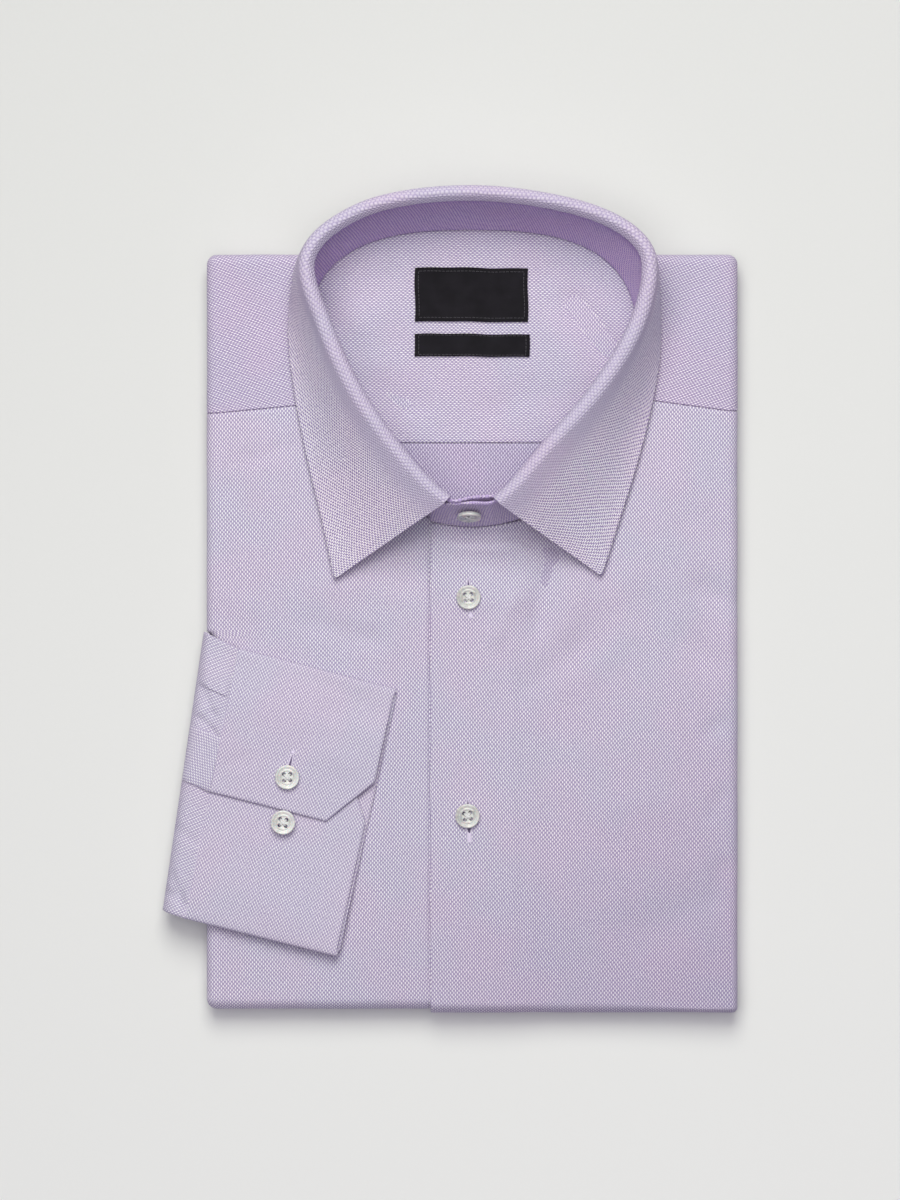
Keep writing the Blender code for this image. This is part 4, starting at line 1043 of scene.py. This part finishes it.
def make_shoulder(name, right):
    out_x = 1 if right else -1
    flat_top = BODY_TOP - SIDE_REACH
    flat_edge = (BODY_RIGHT if right else BODY_LEFT) - out_x * SIDE_REACH
    steps = [(share, 0.0) for share in spaced(0, 1, SHOULDER_STEPS)] + [(1.0, turn) for turn in FINE_TURNS]
    seam = yoke_seam_y(CENTRE_X + out_x * NECK_HALF_WIDTH) + SEAM_GAP
    grid, flat = [], []
    for column_share, side_turn in steps:
        line, line_flat = [], []
        for row_share, end_turn in steps:
            neck_y = seam + (flat_top - seam) * row_share
            shown_y = neck_y + SIDE_REACH * math.sin(min(end_turn, math.pi / 2))
            inner = CENTRE_X + out_x * neck_reach(shown_y, SHOULDER_CLEAR)
            x = inner + (flat_edge - inner) * column_share
            seam_here = yoke_seam_y(x) + SEAM_GAP
            y = seam_here + (flat_top - seam_here) * row_share
            top = FRONT_TOP + swell(x, y)
            reaches = (SIDE_REACH, SIDE_REACH)
            line.append(
                folded_point(x, y, side_turn, end_turn, out_x, 1, top, SIDE_LIP, SIDE_LIP, reaches)
            )
            line_flat.append((x + out_x * side_turn * SIDE_TURN, y + end_turn * SIDE_TURN))
        grid.append(line)
        flat.append(line_flat)
    grid, flat = np.array(grid), np.array(flat)
    grid = creased(grid, flat, out_x, BODY_CREASES)
    return shell(name, grid, turned(flat, 107 if right else 72), FRONT_WALL, SHOULDER_CLOTH, out_x,
                 bevel=0.24, first_column=0.85)


def make_back():
    inset = 6.5
    xs = spaced(BODY_LEFT + inset, BODY_RIGHT - inset, 90)
    ys = spaced(BODY_BOTTOM + inset + 1.5, BACK_SEAM_Y, 100)
    grid = np.array([[(x, y, back_level(x, y)) for y in ys] for x in xs])
    grid[..., 2] += ripples(grid[..., 0], grid[..., 1]) - 0.05
    return shell("back_cloth", grid, turned(grid[..., :2], 1.0), BACK_WALL, BACK_CLOTH_PAINTED_SHADE)


YOKE_CREASES = table(
    "x0 y0 x1 y1 wide deep bend",
    (-66.0, 134.0, -34.0, 106.0, 8.0, -1.1, 0.04),
    (-48.0, 118.0, -22.0, 134.0, 8.0, 0.6, 0.04),
    (52.0, 142.0, 76.0, 104.0, 7.0, -1.4, 0.04),
    (44.0, 130.0, 62.0, 96.0, 7.0, 0.7, 0.04),
    (-44.0, 104.0, -10.0, 84.0, 8.0, -1.1, 0.04),
    (10.0, 80.0, 50.0, 96.0, 8.0, -0.8, 0.04),
)


def make_yoke_back():
    grid = []
    for angle in np.radians(np.linspace(-90, 90, 110)):
        reach = abs(math.sin(angle)) ** (2 / NECK_BACK_POWER) * math.copysign(1, angle)
        x = CENTRE_X + NECK_HALF_WIDTH * reach
        head = NECK_Y + NECK_BACK * abs(math.cos(angle)) ** (2 / NECK_BACK_POWER)
        start = BACK_SEAM_Y + GAP
        grid.append([(x, start + (head - start) * t, 0.0) for t in spaced(0, 1, 60)])
    grid = np.array(grid)
    level = [[back_level(x, y) for x, y, _ in line] for line in grid]
    grid[..., 2] = np.array(level) + ripples(grid[..., 0], grid[..., 1]) - 0.05
    away = np.abs(grid[..., 0] - 9.5) - 27.0
    clear = np.clip(np.maximum(away, 107.0 - grid[..., 1]) / 6.0, 0.0, 1.0)  # flat under the labels
    grid[..., 2] += crease_relief(grid[..., 0], grid[..., 1], YOKE_CREASES) * clear
    return shell("yoke_back_cloth", grid, turned(grid[..., :2], 90), BACK_WALL, CLOTH)


# ---------------------------------------------------------------- collar


def make_stand():
    ways = spaced(-1.11, 1.085, 260)
    grid = np.array([stand_column(way, spaced(0, 1, 18)) for way in ways])
    return shell("stand_cloth", grid, turned(unrolled(grid), 90), STAND_WALL, STAND_CLOTH_PAINTED_SHADE_AND_LIGHT, 1)


LEAF_TIP_RADIUS = 1.6


def make_leaf():
    ends = [LEAF_END - d for d in (0.0, 0.0006, 0.0015, 0.003, 0.005, 0.008)]
    ways = [-w for w in ends] + spaced(-LEAF_END + 0.012, LEAF_END - 0.012, 250) + ends[::-1]
    grid = np.array([leaf_section(way, 16, 34) for way in ways])
    run = arc_lengths(grid[:, -1:], 0)[:, 0]
    for i, gap in enumerate(np.minimum(run, run[-1] - run)):
        if gap < LEAF_TIP_RADIUS:  # the points of the collar are a little round
            pull = LEAF_TIP_RADIUS - math.sqrt(LEAF_TIP_RADIUS**2 - (LEAF_TIP_RADIUS - gap) ** 2)
            back = grid[i, -2] - grid[i, -1]
            grid[i, -1] += unit(back) * min(pull, float(np.linalg.norm(back)) * 0.8)
    flat = unrolled(grid)
    middle = flat[len(flat) // 2]
    grain = math.degrees(math.atan2(*(middle[-1] - middle[0])))
    return shell("leaf_cloth", grid, turned(flat, 90 + grain), LEAF_WALL, LEAF_CLOTH_PAINTED_SHADE, -1)


# ---------------------------------------------------------------- cuff and sleeve


def mitred(share, height, mitre, lap_end):
    """A place of a lap, whose corner is cut off from where its mitre starts to its end."""
    way = (share - mitre["start"]) / (lap_end - mitre["start"])
    return (share, height, 1 - LAP_SETBACK - mitre["depth"] * max(0.0, way))


def cuff_path():
    """The cuff's outer face round its section, finely: share of its width, height, share of its length."""
    half = (CUFF_LAP_TOP - CUFF_BACK_LEVEL) / 2
    turns = np.radians(range(15, 166, 15))
    arc = [(0.014 * (1 - math.sin(turn)), half * math.cos(turn)) for turn in turns]
    low, high = CUFF_TURN_SHARE, 1 - CUFF_TURN_SHARE
    path = []
    for share in spaced(LOWER_LAP_END, low, 44):
        path.append(mitred(share, CUFF_LAP_TOP, LOWER_MITRE, LOWER_LAP_END))
    path += [(share, CUFF_BACK_LEVEL + half + rise, 1 - LAP_SETBACK / 2) for share, rise in arc]
    path += [(share, CUFF_BACK_LEVEL, 1.0) for share in spaced(low, high, 30)]
    path += [(1 - share, CUFF_BACK_LEVEL + half - rise, 1 - LAP_SETBACK / 2) for share, rise in arc]
    for share in spaced(high, UPPER_LAP_END, 40):
        path.append(mitred(share, CUFF_LAP_TOP + upper_lap_rise(share), UPPER_MITRE, UPPER_LAP_END))
    return path


CUFF_CREASES = table(
    "x0 y0 x1 y1 wide deep bend",
    (-90.0, -30.0, -26.0, -47.0, 4.0, -0.3),
    (-60.0, -48.0, -30.0, -56.0, 5.5, -0.35),
    (-66.0, -68.0, -38.0, -78.0, 6.0, 0.35),
    (-100.0, -46.0, -103.0, -72.0, 3.5, 0.3),
    (-98.0, -70.0, -90.0, -76.0, 4.0, -0.3),
    (-108.0, -128.0, -60.0, -142.0, 9.0, 0.3),
)


def make_cuff():
    grid = []
    for width_share, height, reach in cuff_path():
        line = []
        for step in spaced(0, 1, 44):
            x, y = cuff_place(step * reach, width_share)
            line.append((x, y, height + swell(x, y) + foot_lift(width_share, step)))
        grid.append(line)
    grid = np.array(grid)
    flat = np.stack([arc_lengths(grid, 1), run_along(grid)], axis=2)
    x, y, z = (grid[..., k] for k in range(3))
    z += (crease_relief(x, y, CUFF_CREASES) + ripples(x, y)) * (z > CUFF_BACK_LEVEL + 1.5)
    return shell("cuff_cloth", grid, flat, CUFF_WALL, CUFF_CLOTH, first_column=0.05)


SLEEVE_CREASES = table(
    "x0 y0 x1 y1 wide deep bend",
    (-116.5, -50.0, -103.0, -66.0, 1.6, -0.7),
    (-119.0, -66.0, -106.0, -58.0, 1.5, -0.5),
    (-119.5, -78.0, -110.0, -70.0, 1.8, -0.5),
    (-126.0, -122.0, -119.0, -134.0, 1.8, -0.5),
    (-124.0, -100.0, -113.0, -112.0, 2.4, -0.35),
    (-114.5, -38.0, -103.0, -54.0, 2.0, -0.6),
    (-117.0, -52.0, -104.0, -48.0, 1.8, 0.4),
    (-129.0, -130.0, -117.0, -141.0, 2.2, -0.7),
)


def make_sleeve():
    runs = spaced(0, 1, 16) + [1 + t for t in spaced(0, 1, 26)[1:]] + spaced(2, 3, 8)[1:]
    pleat = 100 * PLEAT["edge"]
    widths = merged(np.linspace(0, 100, 90), [pleat - 0.4, pleat, 46.5, 47.0, 47.5])
    grid = np.array([[sleeve_point(w / 100, run) for run in runs] for w in widths])
    flat = np.stack([run_along(grid), arc_lengths(grid, 1)], axis=2)
    relief = crease_relief(grid[..., 0], grid[..., 1], SLEEVE_CREASES) * (grid[..., 2] > 12.0)
    grid = grid + normals_of(grid) * relief[..., None]
    return shell("sleeve_cloth", grid, flat, SLEEVE_WALL, CUFF_CLOTH, first_column=0.05)


def make_sleeve_placket():
    shares, runs = spaced(*PLACKET_SPAN, 10), spaced(0.0, 1.36, 30)
    grid = np.array([[sleeve_point(share, run) for run in runs] for share in shares])
    flat = np.stack([run_along(grid), arc_lengths(grid, 1)], axis=2)
    lifted = grid + normals_of(grid) * np.linspace(0.65, 0.3, len(grid))[:, None, None]
    return shell("placket_cloth", lifted, turned(flat, 35), PLACKET_WALL, CUFF_CLOTH)


# ---------------------------------------------------------------- buttons

BUTTON_TURN = (
    (4.2, 0.0), (4.8, 0.12), (5.2, 0.42), (5.42, 0.8), (5.5, 1.25), (5.47, 1.62), (5.36, 1.92),
    (5.16, 2.1), (4.92, 2.13), (4.6, 2.04), (4.25, 1.86), (3.95, 1.7), (3.72, 1.62), (3.52, 1.66),
    (3.36, 1.78), (3.18, 1.86), (2.98, 1.8), (2.82, 1.64), (2.66, 1.52), (2.4, 1.46),
)
BUTTON_AROUND = 72
BUTTON_SPIN = {
    "front_button_upper": 4.0, "front_button_lower": 8.0, "collar_button": 10.0,
    "cuff_button_fastened": 2.0, "cuff_button_spare": -8.0,
}


def button_mesh():
    """A turned button with four holes drilled through it, in metres."""
    points = []
    for radius, z in BUTTON_TURN:
        for k in range(BUTTON_AROUND):
            angle = 2 * math.pi * k / BUTTON_AROUND
            points.append((radius * math.cos(angle) * MM, radius * math.sin(angle) * MM, z * MM))
    faces = ring_faces(len(BUTTON_TURN), BUTTON_AROUND) + [tuple(reversed(range(BUTTON_AROUND)))]
    faces.append(tuple(range(len(points) - BUTTON_AROUND, len(points))))
    blank = bpy.data.meshes.new("button_blank")
    blank.from_pydata(points, [], faces)
    body = linked("button_blank", blank)
    drill = bmesh.new()
    hole, depth = BUTTON_HOLE_RADIUS * MM, BUTTON_RADIUS * MM
    for quarter in range(4):
        angle = math.pi / 4 + quarter * math.pi / 2
        x, y = (BUTTON_HOLE_OFFSET * math.sqrt(2) * t for t in (math.cos(angle), math.sin(angle)))
        bmesh.ops.create_cone(
            drill, cap_ends=True, segments=20, radius1=hole, radius2=hole, depth=depth,
            matrix=Matrix.Translation((x * MM, y * MM, depth / 4)),
        )
    drill_mesh = bpy.data.meshes.new("button_drill")
    drill.to_mesh(drill_mesh)
    drill.free()
    cutter = linked("button_drill", drill_mesh)
    cut = body.modifiers.new("holes", "BOOLEAN")
    cut.operation, cut.solver, cut.object = "DIFFERENCE", "EXACT", cutter
    mesh = bpy.data.meshes.new_from_object(body.evaluated_get(bpy.context.evaluated_depsgraph_get()))
    for helper in (body, cutter):
        bpy.data.objects.remove(helper)
    return mesh


def tube(points, radius, sides, start):
    """Points and faces of a thread along these points, its faces numbered from start."""
    points = np.array(points, float)
    made = []
    for place, way in zip(points, np.gradient(points, axis=0)):
        way = unit(way)
        side = unit(np.cross(way, (0.13, 0.21, 0.97)))
        rise = np.cross(side, way)
        for k in range(sides):
            angle = 2 * math.pi * k / sides
            made.append(place + (side * math.cos(angle) + rise * math.sin(angle)) * radius)
    last = start + len(made) - sides
    faces = ring_faces(len(points), sides, start)
    faces += [tuple(start + k for k in reversed(range(sides))), tuple(range(last, last + sides))]
    return made, faces


def threads_mesh(name, routes, radius, material, sides=8):
    points, faces = [], []
    for route in routes:
        made, more = tube(route, radius, sides, len(points))
        points += made
        faces += more
    mesh = bpy.data.meshes.new(name)
    mesh.from_pydata([tuple(p * MM) for p in points], [], faces)
    mesh.shade_smooth()
    mesh.materials.append(material)
    return linked(name, mesh)


def sewn(name, routes, radius, material):
    """Stitches in the plan's millimetres, as one piece."""
    placed = [np.array(route) + BASE_SHIFT for route in routes]
    as_piece(threads_mesh(name, placed, radius, material, 6), ())


def button_thread_routes():
    """Thread crossing over the dish between opposite holes, three strands each way."""
    routes = []
    for corner, lift in (((1, 1), 1.85), ((1, -1), 2.15)):
        for strand in (-0.3, 0.0, 0.3):
            across = np.array([-corner[1], corner[0]]) / math.sqrt(2) * strand
            line = []
            for t in spaced(-1, 1, 13):
                x, y = BUTTON_HOLE_OFFSET * t * np.array(corner) + across
                line.append((x, y, lift - 1.7 * abs(t) ** 4 - 0.5 * strand * strand))
            routes.append(line)
    return routes


def stitch_rows(path, facing, length, gap, lift, uneven=0.12):
    """Short stitches in a line along this path, rising off the side that faces this way."""
    path = np.array(path, float)
    facing = np.array(facing, float)
    run = np.concatenate([[0], np.cumsum(np.linalg.norm(np.diff(path, axis=0), axis=1))])
    routes, at = [], 0.4 * gap
    while at + length < run[-1]:
        line = []
        for t in spaced(0, 1, 5):
            place, way = (np.array([np.interp(at + length * t, run, c) for c in v.T]) for v in (path, facing))
            line.append(place + unit(way) * (lift * (math.sin(math.pi * t) - 0.4)))
        routes.append(line)
        at += length + gap + uneven * math.sin(len(routes) * 2.3)
    return routes


# Buttonholes: foot and head of the slit, how far the bars of stitches at its ends reach, its half width.
BUTTONHOLES = {
    "front_hole_upper": {
        "foot": (9.2, -5.2), "head": (8.1, 9.6), "bars": (3.2, 0.0), "wide": 0.95, "cloth": "front"},
    "front_hole_lower": {
        "foot": (8.7, -105.0), "head": (8.0, -89.8), "bars": (4.2, 0.0), "wide": 1.15, "cloth": "front"},
    "cuff_hole": {
        "foot": (-74.2, -82.4), "head": (-70.5, -68.9), "bars": (1.2, 1.4), "wide": 0.62, "cloth": "cuff"},
}

SLIT_STEPS = 24
SLIT_SECTION = ((-1.0, 0.02), (-0.4, 0.08), (0.4, 0.08), (1.0, 0.02), (0.0, -0.1))  # half widths, height
STITCH_PITCH, BAR_PITCH = 0.33, 0.3
BUTTON_THREAD_RADIUS = 0.18


def make_buttonholes():
    for name, hole in BUTTONHOLES.items():
        foot, head = np.array(hole["foot"]), np.array(hole["head"])
        length = float(np.linalg.norm(head - foot))
        way = (head - foot) / length
        side = np.array([way[1], -way[0]])

        def at(along, off, high):
            """A point this far along the slit, off its middle and above the cloth."""
            x, y = foot + way * along + side * off
            level = UPPER_LAP_TOP if hole["cloth"] == "cuff" else FRONT_TOP + overlap_rise(x)
            return (x, y, level + swell(x, y) + high)

        def opening(along):
            """Half width of the slit, which is widest by the button's shank."""
            t = min(max(along / length, 0.0), 1.0)
            return hole["wide"] * math.sin(math.pi * t**0.62) ** 0.9 + 0.06

        def bar(along, start, end, high):
            """One stitch across, from start to end off the slit's middle."""
            line = []
            for t in spaced(0, 1, 6):
                line.append(at(along, start + (end - start) * t, high * (math.sin(math.pi * t) - 0.3)))
            return line

        routes, count = [], int(length / STITCH_PITCH)
        for k in range(count + 1):
            along = length * k / count
            edge = opening(along)
            jog = 0.07 * math.sin(k * 1.9)
            wide = 0.72 - 0.3 * ramp(along, 0.55 * length, length)
            routes += [bar(along, sign * edge, sign * (edge + wide) + jog, 0.15) for sign in (1, -1)]
        for reach, end, sign in ((hole["bars"][0], 0.0, -1), (hole["bars"][1], length, 1)):
            for k in range(int(reach / BAR_PITCH)):
                jog = 0.06 * math.sin(k * 2.7)
                routes.append(bar(end + sign * (0.1 + BAR_PITCH * k), -1.12 + jog, 1.12 + jog, 0.36))
        sewn(name + "_thread", routes, BUTTON_THREAD_RADIUS, HOLE_THREAD)
        # Each slit is lined with a dark sheet: painted shade in the opening.
        lips = []
        for along in (length * k / SLIT_STEPS for k in range(SLIT_STEPS + 1)):
            lips += [at(along, share * (opening(along) + 0.05), high) for share, high in SLIT_SECTION]
        around = len(SLIT_SECTION)
        faces = ring_faces(SLIT_STEPS + 1, around)
        faces += [tuple(reversed(range(around))), tuple(range(len(lips) - around, len(lips)))]
        as_piece(solid(name + "_gap", np.array(lips), faces, np.array(lips)[:, :2], GAP_SHADE))


def make_seam_stitches():
    """Stitches along the stand: inside under the roll, and at its foot in front."""
    ways = spaced(-0.62, 0.62, 180)
    inside = [stand_column(way, (0.93,))[0] for way in ways]
    routes = stitch_rows(inside, [0.25 * UP - out_of_neck(way) for way in ways], 1.5, 0.75, 0.1)
    ways = spaced(0.8, 1.06, 60)
    out = [out_of_neck(min(way, 1.0)) for way in ways]
    front = [stand_column(way, (0.1,))[0] + off * STAND_WALL for way, off in zip(ways, out)]
    routes += stitch_rows(front, [off + 0.5 * UP for off in out], 1.5, 0.8, 0.12)
    sewn("stand_stitches", routes, 0.15, SEAM_THREAD)


def make_buttons():
    mesh = button_mesh()
    places = {}
    for name, (x, y) in FRONT_BUTTONS.items():
        places[name] = ((x, y, FRONT_TOP + swell(x, y) + overlap_rise(x) + GAP), None)
    for name, (x, y) in CUFF_BUTTONS.items():
        places[name] = ((x, y, UPPER_LAP_TOP + swell(x, y) + GAP), None)
    low, middle, high = (Vector(p) for p in stand_column(1.0, (0.0, COLLAR_BUTTON_SHARE, 1.0)))
    across = Vector((1.0, 0.0, 0.0))
    slope = (high - low).normalized()
    slope = Vector((0.0, slope.y, slope.z)).normalized()
    up = Matrix.Rotation(COLLAR_BUTTON_DROOP, 3, across) @ slope
    off = STAND_WALL + 1.5 * GAP + BUTTON_RADIUS * math.sin(COLLAR_BUTTON_DROOP)
    at = middle + across.cross(slope) * off + Vector((COLLAR_BUTTON_X - middle.x, 0.0, 0.0))
    facing = Matrix((across, up, across.cross(up).normalized())).transposed()
    places["collar_button"] = (tuple(at), facing)
    for name, (centre, facing) in places.items():
        made = mesh.copy()
        made.name = name + "_pearl"
        made.materials.clear()
        made.materials.append(PALE_PEARL if name in CUFF_BUTTONS else PEARL)
        made.shade_smooth()
        made.set_sharp_from_angle(angle=math.radians(40))
        turn = (facing or Matrix.Identity(3)) @ Matrix.Rotation(math.radians(BUTTON_SPIN[name]), 3, "Z")
        place = Matrix.Translation(Vector((np.array(centre) + BASE_SHIFT) * MM)) @ turn.to_4x4()
        obj = linked(name + "_pearl", made)
        thread = threads_mesh(name + "_thread", button_thread_routes(), BUTTON_THREAD_RADIUS, PALE_THREAD)
        obj.matrix_world = thread.matrix_world = place
        as_piece(obj, [name])
        as_piece(thread)


# ---------------------------------------------------------------- labels


def make_labels():
    for name, (left, right, foot, head) in LABELS.items():
        grid = np.array([[(x, y, back_level(x, y) + GAP + LABEL_WALL) for y in spaced(foot, head, 30)]
                         for x in spaced(left, right, 60)])
        x, y, z = (grid[..., k] for k in range(3))
        z += 0.6 * ripples(x, y)
        bow = 0.25 * np.sin((x - left) / 9.0) + 0.12 * np.sin((x - left) / 3.1)
        y += bow * np.where(y > (foot + head) / 2, 1.0, 0.7)
        x += 0.2 * np.sin((y - foot) / 3.7)
        obj = shell(name + "_satin", grid, grid[..., :2], LABEL_WALL, SATIN)
        frame_line = np.concatenate([grid[2:-2, 2], grid[-3, 2:-2], grid[-3:1:-1, -3], grid[2, -3:1:-1]])
        routes = stitch_rows(frame_line, frame_line * 0 + UP, 1.2, 0.5, 0.16)
        sewn(name + "_stitches", routes, 0.12, LABEL_THREAD)
        as_piece(obj, [name])


# ---------------------------------------------------------------- everything in its place

CLOTH = cloth_material("shirt_weave")
SHOULDER_CLOTH = cloth_material("shoulder_weave", deep=(0.36, 0.285, 0.475), pale=(0.95, 0.905, 0.955))
CUFF_CLOTH = cloth_material("cuff_weave", 0.8, 1.9)
# Over the collar's roll and the stand's top, painted shade tones their highlight down.
LEAF_CLOTH_PAINTED_SHADE = cloth_material("collar_weave_painted_shade", 1.9, 0.5, 1.8, (0.272, 0.195, 0.43), (1.0, 0.94, 1.0), roll_shade=0.7,
                            roll_shade_share=0.38)
# The stand's tones are more purple than the shirt's: painted shade, the saturated colour of the neck's
# shadowed inside. Under the collar button its front tones are lighter and greyer: painted light on the band.
STAND_CLOTH_PAINTED_SHADE_AND_LIGHT = cloth_material("stand_weave_painted_shade_and_light", 2.6, 1.0, 2.5, (0.45, 0.28, 0.68), (1.0, 0.845, 1.0), roll_shade=0.7,
                             roll_shade_share=0.1, front=((0.5, 0.385, 0.68), (1.0, 0.915, 1.0)))
# The back's tones are darker than the shirt's: painted shade where the back shows in the neck opening, under
# the collar.
BACK_CLOTH_PAINTED_SHADE = cloth_material("back_weave_painted_shade", 1.0, 2.1, 1.0, (0.31, 0.25, 0.42), (0.88, 0.825, 0.93))
# The fronts' cloth carries painted shade towards the lower right.
FRONT_CLOTH_PAINTED_SHADE = cloth_material("front_weave_painted_shade", 1.12, painted_falloff=(0.0009, -0.0011))
PEARL = shell_material("button_pearl", (0.43, 0.43, 0.425), (0.66, 0.66, 0.645))
PALE_PEARL = shell_material("button_pale_pearl", (0.54, 0.54, 0.535), (0.78, 0.78, 0.77))
SATIN = label_material("black_satin")
PALE_THREAD = thread_material("pale_thread", (0.86, 0.86, 0.86), (0.7, 0.7, 0.71))
HOLE_THREAD = thread_material("buttonhole_thread", (0.86, 0.79, 0.93), (0.66, 0.58, 0.77))
SEAM_THREAD = thread_material("seam_thread", (0.42, 0.33, 0.56), (0.26, 0.19, 0.38))
LABEL_THREAD = thread_material("label_thread", (0.075, 0.07, 0.085), (0.03, 0.028, 0.034))
# slit_shade is painted shade lining the buttonholes' slits, with a thread's twist.
GAP_SHADE = thread_material("slit_shade", (0.13, 0.09, 0.2), (0.08, 0.055, 0.13), 0.6)


def make_shirt():
    core = as_piece(make_core(), ["folded_layers"])
    back = as_piece(make_back(), ["back"])
    yoke = as_piece(make_yoke_back(), ["yoke_back"])
    under = as_piece(make_front("front_right_cloth", False), ["front_right"])
    over = as_piece(make_front("front_left_cloth", True), ["front_left"])
    right = as_piece(make_shoulder("shoulder_right_cloth", False), ["yoke_shoulder_right"])
    left = as_piece(make_shoulder("shoulder_left_cloth", True), ["yoke_shoulder_left"])
    stand = as_piece(make_stand(), ["collar_stand"])
    leaf = as_piece(make_leaf(), ["collar_leaf"])
    cuff = as_piece(make_cuff(), ["cuff"])
    sleeve = as_piece(make_sleeve(), ["sleeve"])
    placket = as_piece(make_sleeve_placket(), ["sleeve_placket"])


FLOOR_HALF, FLOOR_LEVEL = 3.0, -0.0004  # metres
FLOOR_TONES = ((0.602, 0.602, 0.6), (0.898, 0.898, 0.893))
FLOOR_SLOPE = (0.12, -0.42)  # the paper's tone a metre along, which evens out the light's fall


def make_floor():
    corners = [(x * FLOOR_HALF, y * FLOOR_HALF, FLOOR_LEVEL) for x, y in ((-1, -1), (1, -1), (1, 1), (-1, 1))]
    mesh = bpy.data.meshes.new("stage_floor")
    mesh.from_pydata(corners, [], [(0, 1, 2, 3)])
    n = Nodes("pale_floor")
    place = n.place()
    parts = n.parts(place)
    slope = n.maths("MULTIPLY_ADD", parts[1], FLOOR_SLOPE[1], n.maths("MULTIPLY", parts[0], FLOOR_SLOPE[0]))
    level = n.blend(n.spread(slope, -0.2, 0.2), *FLOOR_TONES)
    grain = n.maths("MULTIPLY", n.noise(place, 900.0, 3.0), 0.05)
    colour = n.blend(grain, level, (1.0, 1.0, 1.0))
    mesh.materials.append(n.surface({"Base Color": colour, "Roughness": 0.9, "Specular IOR Level": 0.1}))
    linked("stage_floor", mesh)


CAMERA_HEIGHT = 2.416
CAMERA_LENS, CAMERA_SENSOR = 160, 36
LIGHT_COLOUR = (0.98, 1.0, 0.905)
LIGHTS = table(
    "name at size watts",
    ("key", (-0.06, 1.0, 1.5), 1.15, 22.0),
    ("fill", (0.3, -0.65, 2.6), 2.4, 8.7),
    ("over", (-0.4, 0.3, 2.4), 2.0, 19.1),
)
WORLD_LIGHT = 0.23
WORLD_COLOUR = (0.78, 0.7, 1.0, 1)


def make_camera_and_lights():
    """The camera looks straight down, and each lamp of the table looks at the shirt."""
    view = bpy.data.cameras.new("camera")
    view.lens, view.sensor_width, view.sensor_fit = CAMERA_LENS, CAMERA_SENSOR, "AUTO"
    view.clip_start, view.clip_end = 0.05, 20
    camera = linked("camera", view)
    camera.location = (*(BASE_SHIFT * MM)[:2], CAMERA_HEIGHT)
    bpy.context.scene.camera = camera
    for row in LIGHTS:
        lamp = bpy.data.lights.new(row["name"], "AREA")
        lamp.shape, lamp.size, lamp.energy, lamp.color = "DISK", row["size"], row["watts"], LIGHT_COLOUR
        obj = linked(row["name"], lamp)
        obj.location = row["at"]
        obj.rotation_euler = Vector(row["at"]).to_track_quat("Z", "Y").to_euler()
    world = bpy.data.worlds.new("studio")
    world.use_nodes = True
    background = world.node_tree.nodes["Background"]
    background.inputs[0].default_value = WORLD_COLOUR
    background.inputs[1].default_value = WORLD_LIGHT
    bpy.context.scene.world = world
    bpy.context.scene.view_settings.view_transform = "Standard"


make_camera_and_lights()
make_floor()
make_shirt()
make_buttons()
make_buttonholes()
make_seam_stitches()
make_labels()
